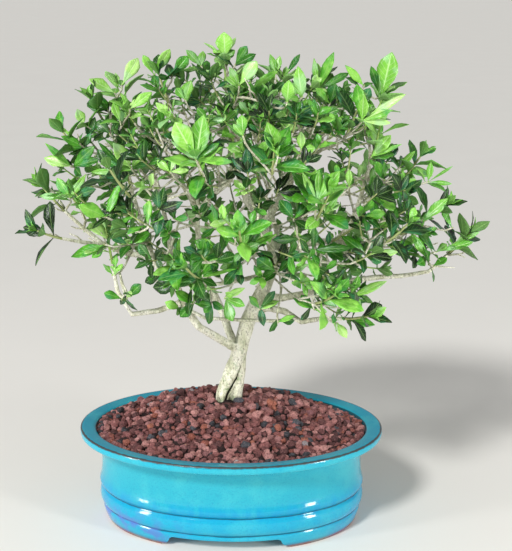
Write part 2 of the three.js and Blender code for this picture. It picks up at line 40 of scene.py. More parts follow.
mm = 0.001
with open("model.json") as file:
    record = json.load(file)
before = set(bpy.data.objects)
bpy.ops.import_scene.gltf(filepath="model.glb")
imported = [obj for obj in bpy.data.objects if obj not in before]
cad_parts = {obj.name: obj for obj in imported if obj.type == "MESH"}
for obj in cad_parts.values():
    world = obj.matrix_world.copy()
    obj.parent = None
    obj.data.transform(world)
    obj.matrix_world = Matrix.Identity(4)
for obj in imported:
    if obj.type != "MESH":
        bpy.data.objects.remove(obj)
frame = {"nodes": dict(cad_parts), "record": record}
nodes = frame["nodes"]
slots = {part["node"]: part["material_slot"] for part in frame["record"]["subparts"]}
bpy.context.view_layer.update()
potLow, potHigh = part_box("pot")
potMiddle = Vector(((potLow.x + potHigh.x) / 2, (potLow.y + potHigh.y) / 2, 0))
up = Vector((0, 0, 1))


def place(x, y, z):
    return Vector((x, y, z)) * mm + potMiddle


def newObject(name, data):
    made = bpy.data.objects.new(name, data)
    bpy.context.scene.collection.objects.link(made)
    return made


# camera, at the photograph's angle

camera = {
    "position": (86.26, -1136.58, 547.28),
    "looks": (-0.05172, 0.96664, -0.25084),
    "focalPixels": 1200,
    "frame": (512, 551),
    "sensor": 36,  # on the frame's longer side
    "farthest": 200,  # in metres, past the floor's edge
}


def cameraTurn():
    return Vector(camera["looks"]).to_track_quat("-Z", "Y").to_matrix()


def makeCamera():
    data = bpy.data.cameras.new("camera")
    data.sensor_width = camera["sensor"]
    data.lens = camera["focalPixels"] / max(camera["frame"]) * camera["sensor"]
    data.clip_end = camera["farthest"]
    made = newObject("camera", data)
    made.matrix_world = Matrix.Translation(place(*camera["position"])) @ cameraTurn().to_4x4()
    bpy.context.scene.camera = made


def pixelOf(point):
    # Where a point falls in the photograph's frame.
    seen = cameraTurn().inverted() @ (point - place(*camera["position"]))
    scale = camera["focalPixels"] / -seen.z
    width, height = camera["frame"]
    return Vector((width / 2 + scale * seen.x, height / 2 - scale * seen.y))


def behindPixel(x, y, depth):
    # The point seen at a pixel, on the upright plane at a depth behind the pot's middle.
    width, height = camera["frame"]
    ray = cameraTurn() @ Vector(((x - width / 2), (height / 2 - y), -camera["focalPixels"]))
    start = place(*camera["position"])
    return start + ray * ((potMiddle.y + depth * mm - start.y) / ray.y)


makeCamera()
print("stage: camera set")


# material helpers

def paint(text):
    # A colour written as hexadecimal sRGB, as linear RGBA.
    values = [int(text[i:i + 2], 16) / 255 for i in (0, 2, 4)]
    return [v / 12.92 if v <= 0.04045 else ((v + 0.055) / 1.055) ** 2.4 for v in values] + [1]


def newMaterial(name, sockets):
    material = bpy.data.materials.new(name)
    material.use_nodes = True
    shader = material.node_tree.nodes["Principled BSDF"]
    for socket, value in sockets.items():
        shader.inputs[socket].default_value = value
    return material


def addNode(tree, kind, inputs=None, **settings):
    node = tree.nodes.new(kind)
    for name, value in settings.items():
        setattr(node, name, value)
    for name, value in (inputs or {}).items():
        if isinstance(value, bpy.types.NodeSocket):
            tree.links.new(value, node.inputs[name])
        else:
            node.inputs[name].default_value = value
    return node


def coordinate(material, name):
    return addNode(material.node_tree, "ShaderNodeTexCoord").outputs[name]


def attribute(material, name):
    return addNode(material.node_tree, "ShaderNodeAttribute", attribute_name=name).outputs["Fac"]


# The helpers below are given a socket first, and its id_data is the node tree that it is in.

def mapped(point, **changes):
    return addNode(point.id_data, "ShaderNodeMapping", {"Vector": point, **changes}).outputs["Vector"]


def objectPoint(material):
    # Object coordinates from the pot's middle.
    return mapped(coordinate(material, "Object"), Location=-potMiddle)


def axesOf(point):
    return addNode(point.id_data, "ShaderNodeSeparateXYZ", {"Vector": point}).outputs


def grainNoise(point, size, detail=4, roughness=0.55, stretch=None):
    # Noise whose blotches are about size millimetres wide.
    return addNode(point.id_data, "ShaderNodeTexNoise", {
        "Vector": mapped(point, Scale=stretch) if stretch else point,
        "Scale": 1 / (size * mm),
        "Detail": detail,
        "Roughness": roughness,
    }).outputs["Fac"]


def remap(value, low, high, toLow=0, toHigh=1):
    return addNode(value.id_data, "ShaderNodeMapRange", {
        "Value": value, "From Min": low, "From Max": high, "To Min": toLow, "To Max": toHigh,
    }).outputs["Result"]


def blend(factor, first, second):
    # Lays the second colour, a hexadecimal text, over the first.
    inputs = {0: factor, 6: first, 7: paint(second)}
    return addNode(factor.id_data, "ShaderNodeMix", inputs, data_type="RGBA").outputs[2]


def calculate(operation, first, second=0.0):
    return addNode(first.id_data, "ShaderNodeMath", {0: first, 1: second}, operation=operation).outputs[0]


def times(first, second):
    return calculate("MULTIPLY", first, second)


def colourRamp(value, stops):
    node = addNode(value.id_data, "ShaderNodeValToRGB", {"Fac": value})
    elements = node.color_ramp.elements
    elements[0].position, elements[0].color = stops[0][0], paint(stops[0][1])
    elements[1].position, elements[1].color = stops[-1][0], paint(stops[-1][1])
    for position, colour in stops[1:-1]:
        elements.new(position).color = paint(colour)
    return node.outputs["Color"]


def connectShader(colour, roughness=None, height=None, strength=0.5, depth=0.3):
    # Height is the bump's, and depth is how many millimetres a height of 1 stands up.
    tree = colour.id_data
    shader = tree.nodes["Principled BSDF"]
    tree.links.new(colour, shader.inputs["Base Color"])
    if roughness is not None:
        tree.links.new(roughness, shader.inputs["Roughness"])
    if height is not None:
        relief = {"Height": height, "Strength": strength, "Distance": depth * mm}
        bump = addNode(tree, "ShaderNodeBump", relief)
        tree.links.new(bump.outputs["Normal"], shader.inputs["Normal"])


# mesh helpers

def meshFrom(bm, name):
    mesh = bpy.data.meshes.new(name)
    bm.to_mesh(mesh)
    bm.free()
    return mesh


def shadeSmooth(mesh, sharpAngle):
    mesh.polygons.foreach_set("use_smooth", [True] * len(mesh.polygons))
    if sharpAngle < 180:
        mesh.set_sharp_from_angle(angle=math.radians(sharpAngle))


def pieceFrom(bm, name, material, sharpAngle=180):
    mesh = meshFrom(bm, name)
    mesh.materials.append(material)
    shadeSmooth(mesh, sharpAngle)
    piece = newObject(name, mesh)
    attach(piece, "root")
    return piece


def mergedCopy(nodeName):
    bm = bmesh.new()
    bm.from_mesh(nodes[nodeName].data)
    bmesh.ops.remove_doubles(bm, verts=bm.verts, dist=0.01 * mm)
    return bm


def addCopy(bm, mesh):
    # Adds a mesh to another, and returns its points and faces there.
    vertCount, faceCount = len(bm.verts), len(bm.faces)
    bm.from_mesh(mesh)
    bm.verts.ensure_lookup_table()
    bm.faces.ensure_lookup_table()
    return bm.verts[vertCount:], bm.faces[faceCount:]


def partsOf(made, kind):
    return [part for part in made if isinstance(part, kind)]


def evenOut(bm, verts, rounds):
    for _ in range(rounds):
        bmesh.ops.smooth_vert(bm, verts=verts, factor=0.5, use_axis_x=True, use_axis_y=True, use_axis_z=True)


def treeOf(points):
    tree = KDTree(len(points))
    for i, point in enumerate(points):
        tree.insert(point, i)
    tree.balance()
    return tree


def taper(first, last, count):
    # Radii from one end of a stem to the other.
    return [(first + (last - first) * i / (count - 1)) * mm for i in range(count)]


def strayVector(draw, most):
    return Vector([draw.uniform(-most, most) for _ in range(3)])


def applyModifiers(piece):
    depsgraph = bpy.context.evaluated_depsgraph_get()
    final = bpy.data.meshes.new_from_object(piece.evaluated_get(depsgraph))
    piece.modifiers.clear()
    piece.data = final


def spinProfile(points, steps):
    # Turns a row of [radius, height] points round the Z axis.
    bm = bmesh.new()
    row = [bm.verts.new((radius * mm, 0, height * mm)) for radius, height in points]
    edges = [bm.edges.new(pair) for pair in zip(row, row[1:])]
    bmesh.ops.spin(
        bm, geom=row + edges, axis=up, cent=(0, 0, 0), angle=2 * math.pi, steps=steps, use_merge=True,
    )
    bmesh.ops.remove_doubles(bm, verts=bm.verts, dist=0.01 * mm)
    bmesh.ops.recalc_face_normals(bm, faces=bm.faces)
    return bm


def addTube(bm, route, radii, sides):
    # A tube along a row of points, closed at both ends. It returns its faces.
    before = len(bm.faces)
    heading = (route[1] - route[0]).normalized()
    ring = bmesh.ops.create_circle(
        bm, segments=sides, radius=radii[0],
        matrix=Matrix.Translation(route[0]) @ heading.to_track_quat("Z", "Y").to_matrix().to_4x4(),
    )["verts"]
    edges = list({edge for vert in ring for edge in vert.link_edges})
    bmesh.ops.contextual_create(bm, geom=edges)
    for i in range(1, len(route)):
        onward = (route[min(i + 1, len(route) - 1)] - route[i - 1]).normalized()
        turn = heading.rotation_difference(onward).to_matrix()
        made = bmesh.ops.extrude_edge_only(bm, edges=edges)["geom"]
        ring, edges = partsOf(made, bmesh.types.BMVert), partsOf(made, bmesh.types.BMEdge)
        scale = radii[i] / radii[i - 1]
        for vert in ring:
            vert.co = route[i] + turn @ (vert.co - route[i - 1]) * scale
        heading = onward
    bmesh.ops.contextual_create(bm, geom=edges)
    bm.faces.ensure_lookup_table()
    faces = bm.faces[before:]
    bmesh.ops.recalc_face_normals(bm, faces=faces)
    return faces


# pot

pot = {
    "lipReach": 20.5,
    "evenInset": 22,  # further in than this the ovals keep their proportions
    "floorTop": 19,
    "floorUnderside": 12.6,
    # how far out from the wall line, and how high
    "foot": [[-22, 12.6], [-20, 0], [-5.5, 0]],
    "outside": [
        [-4, 2], [-1.5, 9], [0, 15.2], [-2.2, 17], [1.2, 19], [2.8, 26], [1.5, 33.4], [-1.2, 35.5],
        [1.8, 38], [2.6, 40.4], [2.3, 43], [0.7, 48], [-0.2, 56], [-0.6, 70], [0.7, 80], [3.2, 85.4],
        [8.5, 88], [18.2, 88.5], [20.2, 90.2], [20.5, 93], [20.5, 96.4], [19, 98], [12, 97], [6, 96.6],
        [4.2, 94.5], [3.5, 92],
    ],
    "inside": [[-6.5, 85], [-8.5, 60], [-9.5, 23], [-14, 19]],
    "rounding": 3,
    "steps": 144,
    "sharpAngle": 40,
    "footCutHalf": 64,
    "footSweep": [[0, -1], [2, 1.5], [6.5, 3.6], [8.5, 6], [10, 10], [12.5, 11.8], [16, 12]],
    "drainHoleX": 62,
    "drainHoleRadius": 10,
    "drainHoleSides": 40,
    "drainCutter": 30,  # how high the cutter of each hole reaches
}
wallRadius = (potHigh.x - potLow.x) / 2 / mm - pot["lipReach"]
ovalInset = ((potHigh.x - potLow.x) - (potHigh.y - potLow.y)) / 2 / mm


def pressToOval(bm):
    # Every level keeps the same distance between its half length and its half width.
    even = (wallRadius - pot["evenInset"]) * mm
    for vert in bm.verts:
        radius = max(math.hypot(vert.co.x, vert.co.y), even)
        vert.co.y *= (radius - ovalInset * mm) / radius
    bmesh.ops.translate(bm, verts=bm.verts, vec=potMiddle)


def potProfile():
    # The corners of the drawn profile are rounded: points are added and then evened out.
    sides = pot["foot"] + pot["outside"] + pot["inside"]
    drawn = [Vector((wallRadius + out, 0, height)) for out, height in sides]
    points = [drawn[0]]
    for start, end in zip(drawn, drawn[1:]):
        points += [start.lerp(end, part) for part in (1 / 3, 2 / 3, 1)]
    bm = bmesh.new()
    row = [bm.verts.new(point) for point in points]
    for pair in zip(row, row[1:]):
        bm.edges.new(pair)
    moving = [vert for vert, point in zip(row, points) if point.z > 0.1]  # the foot stays sharp
    evenOut(bm, moving[1:-1], pot["rounding"])
    smooth = [[vert.co.x, vert.co.z] for vert in row]
    bm.free()
    return [[0, pot["floorUnderside"]]] + smooth + [[0, pot["floorTop"]]]


def footCutter():
    bm = bmesh.new()
    half = pot["footCutHalf"]
    left = [(inward - half, height) for inward, height in pot["footSweep"]]
    outline = left + [(-x, height) for x, height in reversed(left)]
    depth = potHigh.y - potLow.y
    corners = [bm.verts.new((x * mm, -depth / 2, height * mm)) for x, height in outline]
    face = bm.faces.new(corners)
    made = bmesh.ops.extrude_face_region(bm, geom=[face])["geom"]
    bmesh.ops.translate(bm, verts=partsOf(made, bmesh.types.BMVert), vec=(0, depth, 0))
    radius = pot["drainHoleRadius"] * mm
    for side in (-1, 1):
        bmesh.ops.create_cone(
            bm, cap_ends=True, segments=pot["drainHoleSides"], depth=2 * pot["drainCutter"] * mm,
            radius1=radius, radius2=radius, matrix=Matrix.Translation((side * pot["drainHoleX"] * mm, 0, 0)),
        )
    bmesh.ops.translate(bm, verts=bm.verts, vec=potMiddle)
    bmesh.ops.recalc_face_normals(bm, faces=bm.faces)
    return newObject("foot_cutter", meshFrom(bm, "foot_cutter"))


glaze = {
    # heights as shares of the pot's height, from its foot to its lip
    "levels": [
        (0.0, "6e3f33"), (0.016, "8d5746"), (0.032, "5c6272"), (0.046, "2a86a2"), (0.075, "1f9cba"),
        (0.14, "1a9ab8"), (0.2, "159aba"), (0.29, "199cba"), (0.385, "0f93b6"), (0.5, "209cb0"),
        (0.72, "29a0b0"), (0.86, "20a2b6"), (0.9, "26a8bc"), (0.968, "22a4ba"), (0.984, "0792aa"),
        (1.0, "058ea8"),
    ],
    "pool": "0886ba",
    # how strongly runs of the pool colour show, as greys at the same shares
    "poolLevels": [
        (0, "000000"), (0.1, "000000"), (0.2, "808080"), (0.33, "484848"), (0.37, "e0e0e0"),
        (0.52, "303030"), (0.66, "000000"), (0.9, "505050"), (0.95, "000000"), (1, "000000"),
    ],
    "grooves": ((17.0, 1.0), (35.6, 0.95)),  # height and half width of the dark line in each
    "grooveLine": "0c4a60",
    "violet": "5a62b4",
    "speckle": "0c6f98",
    "haze": "4cb8b8",
    "lipEdge": "3e2c20",
    "throat": "0a3a46",  # the inside of the rim, just over the gravel
    "lipCorner": (19.6, 97.0),  # out from the wall line and up, where the glaze breaks brown
    "lipFrom": 88,  # the lip lies above this height, and the rim's inside above the next
    "throatFrom": 80,
    "throatTo": 96.4,
    "throatOut": 5.2,
    "farFromLip": 20,
}


def glazeMaterial():
    material = newMaterial("turquoise_glaze", {
        "Roughness": 0.12, "Coat Weight": 0.12, "Coat Roughness": 0.04, "IOR": 1.38,
    })
    point = objectPoint(material)
    axes = axesOf(point)
    drift = remap(grainNoise(point, 28, 3), 0.3, 0.7, -0.0005, 0.0005)
    height = calculate("ADD", axes["Z"], drift)
    share = remap(height, 0, potHigh.z)
    colour = colourRamp(share, glaze["levels"])
    haze = remap(grainNoise(point, 34, 4, 0.6), 0.46, 0.66, 0, 0.3)
    colour = blend(haze, colour, glaze["haze"])
    mottle = grainNoise(point, 1.7, 5, 0.75)
    colour = blend(remap(mottle, 0.5, 0.7, 0, 0.42), colour, glaze["speckle"])
    # Runs of deeper blue hang above each groove.
    runs = grainNoise(point, 7, 3, 0.6, stretch=(1, 1, 0.22))
    pooled = times(remap(runs, 0.42, 0.62), colourRamp(share, glaze["poolLevels"]))
    colour = blend(pooled, colour, glaze["pool"])
    for middle, half in glaze["grooves"]:
        away = calculate("ABSOLUTE", calculate("SUBTRACT", height, middle * mm))
        line = remap(away, half * mm, half * 0.4 * mm, 0, 0.9)
        colour = blend(line, colour, glaze["grooveLine"])
    # Violet patches lie low on the left end, and a few on the right.
    patches = remap(grainNoise(point, 20, 3, 0.55, stretch=(1, 1, 1.5)), 0.44, 0.58)
    low = remap(axes["Z"], 0.036, 0.012)
    ends = calculate("MAXIMUM", remap(axes["X"], -0.03, -0.08), remap(axes["X"], 0.08, 0.12, 0, 0.3))
    violet = times(times(patches, low), ends)
    colour = blend(times(violet, 0.8), colour, glaze["violet"])
    # The glaze is thin and brown along the lip's outer edge.
    fromEdge = attribute(material, "fromLipEdge")
    wander = remap(grainNoise(point, 5, 4, 0.6), 0.3, 0.7, -0.5, 0.5)
    edge = remap(calculate("ADD", fromEdge, wander), 1.5, 0.8)
    colour = blend(times(edge, 0.9), colour, glaze["lipEdge"])
    throat = attribute(material, "throat")
    colour = blend(times(throat, 0.92), colour, glaze["throat"])
    bare = remap(share, 0.03, 0.012)
    dull = calculate("MAXIMUM", bare, times(edge, 0.4))
    roughness = remap(dull, 0, 1, 0.1, 0.75)
    ripple = grainNoise(point, 9, 2)
    connectShader(colour, roughness, ripple, strength=0.25, depth=0.5)
    return material


def outFromWall(x, y):
    # How far a point lies out from the wall line, found by halving.
    low, high = -wallRadius + ovalInset + 1, 40
    for _ in range(18):
        out = (low + high) / 2
        length = wallRadius + out
        if math.hypot(x / length, y / (length - ovalInset)) > 1:
            low = out
        else:
            high = out
    return low


def markRim(mesh):
    # How far each point is from the lip's outer edge, and which points are in the rim's throat.
    edge = mesh.attributes.new("fromLipEdge", "FLOAT", "POINT")
    throat = mesh.attributes.new("throat", "FLOAT", "POINT")
    cornerOut, cornerHeight = glaze["lipCorner"]
    low, high = glaze["throatFrom"], glaze["throatTo"]
    for i, vert in enumerate(mesh.vertices):
        x, y, z = (vert.co - potMiddle) / mm
        out = outFromWall(x, y) if z > low else 0
        away = math.hypot(out - cornerOut, z - cornerHeight)
        edge.data[i].value = away if z > glaze["lipFrom"] else glaze["farFromLip"]
        inward = vert.normal.dot(Vector((x, y, 0))) < 0
        throat.data[i].value = float(low < z < high and out < glaze["throatOut"] and inward)


def makePot():
    bm = spinProfile(potProfile(), pot["steps"])
    pressToOval(bm)
    piece = pieceFrom(bm, "glazed_pot", glazeMaterial(), pot["sharpAngle"])
    cutter = footCutter()
    cut = piece.modifiers.new("cut", "BOOLEAN")
    cut.object = cutter
    cut.operation = "DIFFERENCE"
    cut.solver = "EXACT"
    applyModifiers(piece)
    bpy.data.objects.remove(cutter)
    shadeSmooth(piece.data, pot["sharpAngle"])
    markRim(piece.data)
    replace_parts(piece, "pot")


makePot()
print("stage: pot made")


# soil and drain screens, which keep their solids

def soilMaterial():
    material = newMaterial("potting_soil", {"Roughness": 0.95})
    point = objectPoint(material)
    crumbs = grainNoise(point, 3, 6, 0.7)
    colour = colourRamp(crumbs, [(0.3, "1f1712"), (0.55, "3b2c21"), (0.72, "5a4532")])
    connectShader(colour, None, crumbs, strength=0.9, depth=1.5)
    return material


def screenMaterial():
    material = newMaterial("screen_plastic", {"Roughness": 0.55})
    point = objectPoint(material)
    scuffs = grainNoise(point, 4, 5)
    colour = colourRamp(scuffs, [(0.35, "1c2022"), (0.65, "2e3436")])
    connectShader(colour, remap(scuffs, 0.3, 0.7, 0.45, 0.7), scuffs, 0.2, 0.1)
    return material


def giveMaterial(nodeName, material):
    nodes[nodeName].data.materials.clear()
    nodes[nodeName].data.materials.append(material)


giveMaterial("soil", soilMaterial())
plastic = screenMaterial()
giveMaterial("drain_screen_left", plastic)
giveMaterial("drain_screen_right", plastic)


# gravel: the solid heap is painted nearly black as shade in the gaps between the stones, and the loose stones
# lie on its relief

gravel = {
    "seed": 31,
    "pitch": 6.2,
    "rowStep": 0.866,  # between the rows of a triangular lattice, in pitches
    "stray": 0.27,  # the most that a stone is off its place, in pitches
    "sizes": (5.6, 10.4),
    "sizeSpread": (0.85, 1.1),
    "overlap": 0.3,  # how far a stone reaches over an edge, as a share of its size
    "lean": 0.7,
    "shapes": 16,
    "lumps": 0.5,
    "lumpGrain": 2.4,
    "pits": 0.06,
    "pitGrain": 6,
    "noiseSteps": (7.3, 5.1),  # between the lumps, and the pits, of one shape and the next
    "widths": (0.75, 1),  # as shares of the length, and so the heights
    "heights": (0.65, 0.92),
    "flatAngle": 17,  # faces closer to one plane than this become one
    "sharpAngle": 34,
    "sunk": 0.9,
    "heightStray": 0.7,
    # share of the places filled and lift of each layer; the last is only at the back on the left
    "layers": ((1, 0), (0.45, 2.0), (0.85, 4.6)),
    "layerShift": (0.37, 0.41),  # between layers, in pitches
    "layerSpread": 0.12,  # how much wider the pitch of each layer is
    "backLine": (26, 0.38),  # where the back begins, and how it slants
    "backEnd": 75,
    "tones": [
        (0, "2a2d33"), (0.06, "4a4e55"), (0.075, "482828"), (0.28, "6a3c3b"), (0.48, "8e5855"),
        (0.68, "b8837d"), (0.84, "845558"), (0.93, "884a3c"), (0.972, "a4624e"), (0.98, "8f8588"),
        (1, "aaa2a2"),
    ],
    "poreDark": "241414",
    "porePale": "cba09a",
    "charcoalShare": 0.065,
    "paleShare": 0.006,
    "edgeGap": 0.4,
    # the outermost stones lie on the sloping inside of the rim: out from the wall line and up
    "edgeRings": ((-2.6, 92.4), (0.3, 92.8)),
    "edgePitch": 5.2,
    "edgeSizes": (5.2, 7.6),
    "edgeStray": 0.3,  # along the ring, in shares of the way to the next stone
    "asideStray": 0.5,
    "edgeLift": (-1.2, 0.8),
    "backRings": ((-1.2, 96.4), (-5.5, 98.0)),
    "trunkFeet": [(-10.2, 20, 9.2), (3.4, 23, 7.4)],  # x, y and the radius kept clear
}


def lavaMaterial():
    material = newMaterial("lava_rock", {"Roughness": 0.85})
    point = objectPoint(material)
    colour = colourRamp(attribute(material, "tone"), gravel["tones"])
    pores = grainNoise(point, 1.5, 6, 0.75)
    colour = blend(remap(pores, 0.5, 0.36, 0, 0.8), colour, gravel["poreDark"])
    colour = blend(remap(pores, 0.54, 0.74, 0, 0.5), colour, gravel["porePale"])
    connectShader(colour, None, pores, strength=1, depth=1.1)
    return material


def gapShadeMaterial():
    material = newMaterial("gravel_gap_shade", {"Roughness": 1})
    crumbs = grainNoise(objectPoint(material), 4, 6, 0.7)
    # Nearly black: painted shade, seen in the gaps between the loose stones.
    colour = colourRamp(crumbs, [(0.35, "0e0908"), (0.65, "301c1b")])
    connectShader(colour, None, crumbs, strength=0.9, depth=2)
    return material


def stoneShapes(draw):
    # Lumpy stones of size 1 with a few flat faces.
    lumpStep, pitStep = gravel["noiseSteps"]
    shapes = []
    for i in range(gravel["shapes"]):
        bm = bmesh.new()
        bmesh.ops.create_icosphere(bm, subdivisions=2, radius=0.5)
        for vert in bm.verts:
            lumpAt = vert.co * gravel["lumpGrain"] + Vector((i * lumpStep, 0, 0))
            vert.co *= 1 + gravel["lumps"] * noise.noise(lumpAt)
            pitAt = vert.co * gravel["pitGrain"] + Vector((0, i * pitStep, 0))
            vert.co += gravel["pits"] * noise.noise_vector(pitAt)
        width, height = draw.uniform(*gravel["widths"]), draw.uniform(*gravel["heights"])
        bmesh.ops.scale(bm, verts=bm.verts, vec=(1, width, height))
        flat = math.radians(gravel["flatAngle"])
        bmesh.ops.dissolve_limit(bm, angle_limit=flat, verts=bm.verts, edges=bm.edges)
        bmesh.ops.triangulate(bm, faces=[face for face in bm.faces if len(face.verts) > 4])
        shapes.append(meshFrom(bm, "stone"))
    return shapes


def isBack(x, y):
    # The heap is higher at the back on the left.
    start, slant = gravel["backLine"]
    return y > start + slant * x and x < gravel["backEnd"]


def stonePlaces(draw):
    # Layers of a strayed triangular lattice, laid on the solid heap.
    bm = mergedCopy("gravel")
    heap = BVHTree.FromBMesh(bm)
    bm.free()
    low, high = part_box("gravel")
    halfLength = (high.x - low.x) / 2 / mm - gravel["edgeGap"]
    halfWidth = (high.y - low.y) / 2 / mm - gravel["edgeGap"]
    step, stray, rise = gravel["rowStep"], gravel["stray"], gravel["heightStray"]
    shiftX, shiftY = gravel["layerShift"]
    lastLayer = len(gravel["layers"]) - 1
    for layer, (share, lift) in enumerate(gravel["layers"]):
        pitch = gravel["pitch"] * (1 + gravel["layerSpread"] * layer)
        rows = int(halfWidth / pitch / step) + 1
        columns = int(halfLength / pitch) + 1
        for row, column in itertools.product(range(-rows, rows + 1), range(-columns, columns + 1)):
            x = (column + 0.5 * (row % 2) + shiftX * layer + draw.uniform(-stray, stray)) * pitch
            y = (row * step + shiftY * layer + draw.uniform(-stray, stray)) * pitch
            size = draw.uniform(*gravel["sizes"]) * draw.uniform(*gravel["sizeSpread"])
            reach = size * gravel["overlap"]
            inside = math.hypot(x / (halfLength - reach), y / (halfWidth - reach)) < 1
            clear = all(math.hypot(x - cx, y - cy) > radius + reach for cx, cy, radius in gravel["trunkFeet"])
            ground = heap.ray_cast(place(x, y, 200), -up)[0]
            if layer == lastLayer and not isBack(x, y):
                continue
            if inside and clear and ground and draw.random() < share:
                yield ground + up * (lift - gravel["sunk"] + draw.uniform(-rise, rise)) * mm, size


def edgePlaces(draw):
    stray, aside = gravel["edgeStray"], gravel["asideStray"]
    for out, height in gravel["edgeRings"] + gravel["backRings"]:
        length, width = wallRadius + out, wallRadius + out - ovalInset
        count = int(math.pi * (length + width) / gravel["edgePitch"])
        for i in range(count):
            angle = 2 * math.pi * (i + draw.uniform(-stray, stray)) / count
            size = draw.uniform(*gravel["edgeSizes"])
            x, y = length * math.cos(angle), width * math.sin(angle)
            offX, offY = draw.uniform(-aside, aside), draw.uniform(-aside, aside)
            spot = place(x + offX, y + offY, height + draw.uniform(*gravel["edgeLift"]))
            if isBack(x, y) or (out, height) in gravel["edgeRings"]:
                yield spot, size


def stoneTone(draw):
    kind = draw.random()
    if kind < gravel["charcoalShare"]:
        return draw.uniform(0, 0.06)
    if kind > 1 - gravel["paleShare"]:
        return draw.uniform(0.98, 1)
    return draw.uniform(0.08, 0.97)


def makeStones():
    draw = random.Random(gravel["seed"])
    shapes = stoneShapes(draw)
    bm = bmesh.new()
    tones = bm.faces.layers.float.new("tone")
    for spot, size in list(stonePlaces(draw)) + list(edgePlaces(draw)):
        verts, faces = addCopy(bm, draw.choice(shapes))
        turn = Matrix.Rotation(draw.uniform(0, 2 * math.pi), 4, "Z")
        turn = turn @ Matrix.Rotation(draw.uniform(-gravel["lean"], gravel["lean"]), 4, "X")
        matrix = Matrix.Translation(spot) @ turn @ Matrix.Scale(size * mm, 4)
        for vert in verts:
            vert.co = matrix @ vert.co
        tone = stoneTone(draw)
        for face in faces:
            face[tones] = tone
    print("stage: gravel made,", len(bm.faces), "faces")
    for shape in shapes:
        bpy.data.meshes.remove(shape)
    pieceFrom(bm, "gravel_stones", lavaMaterial(), gravel["sharpAngle"])


giveMaterial("gravel", gapShadeMaterial())
makeStones()


# wood

wood = {
    "patches": [(0.3, "9c9c80"), (0.42, "c8c9ac"), (0.52, "e4e3cc"), (0.62, "f0eede"), (0.75, "d4d3ba")],
    "moss": "71915c",
    "fleck": "6b6650",
    "scar": "8a7c62",
    # painted shade inside the trunk's split
    "splitShade": "17150f",
    "voxel": 1.0,
    "smoothings": 4,
    "regain": 0.28,  # put back on thin twigs after the smoothing
    "roughness": 0.18,  # how far the bark swells and sinks
    "trunkRoughness": 0.75,
    "trunkTop": 215,  # above this the trunk is as smooth as its limbs
    "trunkFade": 60,  # over this height below it
    "swellSize": 5,
    "swellStretch": 0.4,
    # the split up the front of the trunk, as pixels of the photograph
    "split": [
        (224, 405), (225.5, 400), (227, 395.5), (229, 391.5), (231, 388), (233.5, 383.5), (236, 379.5),
        (237.5, 374), (241, 366),
    ],
    # half the split's width, by pixel row
    "splitWidths": ((405, 1.8), (390, 1.25), (381, 0.95), (376, 0.55), (366, 0.4)),
    "splitDepth": 4.2,
    "splitFront": 19,  # it is cut only in front of this
    "splitTop": 160,
}


def barkMaterial():
    material = newMaterial("pale_bark", {"Roughness": 0.78})
    point = objectPoint(material)
    axes = axesOf(point)
    patches = grainNoise(point, 9, 5, 0.6, stretch=(1, 1, 0.45))
    colour = colourRamp(patches, wood["patches"])
    moss = remap(grainNoise(point, 7, 5, 0.7), 0.53, 0.64, 0, 0.75)
    trunkOnly = remap(axes["Z"], 0.19, 0.13, 0.22, 1)
    colour = blend(times(moss, trunkOnly), colour, wood["moss"])
    flecks = grainNoise(point, 1.9, 5, 0.75, stretch=(1, 1, 0.6))
    colour = blend(remap(flecks, 0.5, 0.36, 0, 0.8), colour, wood["fleck"])
    # Higher up the twigs are browner and rougher with the scars of old leaves.
    scars = remap(grainNoise(point, 3.2, 4, 0.75), 0.44, 0.58)
    tan = remap(axes["Z"], 0.2, 0.36, 0.05, 0.5)
    colour = blend(times(tan, scars), colour, wood["scar"])
    # The split's inside is darkened with painted shade.
    split = attribute(material, "split")
    colour = blend(split, colour, wood["splitShade"])
    height = calculate("ADD", flecks, times(patches, 0.8))
    connectShader(colour, remap(flecks, 0.3, 0.7, 0.9, 0.62), height, 0.85, 1.1)
    return material


bark = barkMaterial()


def splitAt(point, at):
    # 1 along the middle of the trunk's split and 0 outside it. Its top end runs out thin.
    if at.y > wood["splitFront"] or at.z > wood["splitTop"]:
        return 0
    seen = pixelOf(point)
    best = 0
    for start, end in zip(wood["split"], wood["split"][1:]):
        start, end = Vector(start), Vector(end)
        part = geometry.intersect_point_line(seen, start, end)[1]
        part = min(1, max(0, part))
        spot = start.lerp(end, part)
        for (below, wide), (above, narrow) in zip(wood["splitWidths"], wood["splitWidths"][1:]):
            if above <= spot.y <= below:
                width = narrow + (wide - narrow) * (spot.y - above) / (below - above)
                best = max(best, (1 - (seen - spot).length / width) * min(1, width))
    return max(0, best) ** 0.7


def makeWood():
    body = newObject("wood_body", meshFrom(mergedCopy("wood"), "wood_body"))
    remesh = body.modifiers.new("remesh", "REMESH")
    remesh.mode = "VOXEL"
    remesh.voxel_size = wood["voxel"] * mm
    applyModifiers(body)
    bm = bmesh.new()
    bm.from_mesh(body.data)
    bpy.data.objects.remove(body)
    evenOut(bm, bm.verts, wood["smoothings"])
    bm.normal_update()
    splitShadeLayer = bm.verts.layers.float.new("split")
    moves = []
    for vert in bm.verts:
        at = (vert.co - potMiddle) / mm
        trunk = min(1, max(0, (wood["trunkTop"] - at.z) / wood["trunkFade"]))
        grain = Vector((at.x, at.y, at.z * wood["swellStretch"])) / wood["swellSize"]
        swell = noise.fractal(grain, 0.9, 2.1, 3)
        reach = wood["roughness"] + (wood["trunkRoughness"] - wood["roughness"]) * trunk
        move = vert.normal * (wood["regain"] * (1 - trunk) + reach * swell) * mm
        depth = splitAt(vert.co, at) if trunk == 1 else 0
        # how dark the split is painted: painted shade, deepest along its middle
        vert[splitShadeLayer] = min(1, depth * 1.6) ** 2
        moves.append(move + Vector((0, depth * wood["splitDepth"] * mm, 0)))
    for vert, move in zip(bm.verts, moves):
        vert.co += move
    print("stage: wood made,", len(bm.faces), "faces")
    piece = pieceFrom(bm, "tree_wood", bark)
    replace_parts(piece, "wood")


makeWood()


# leaves

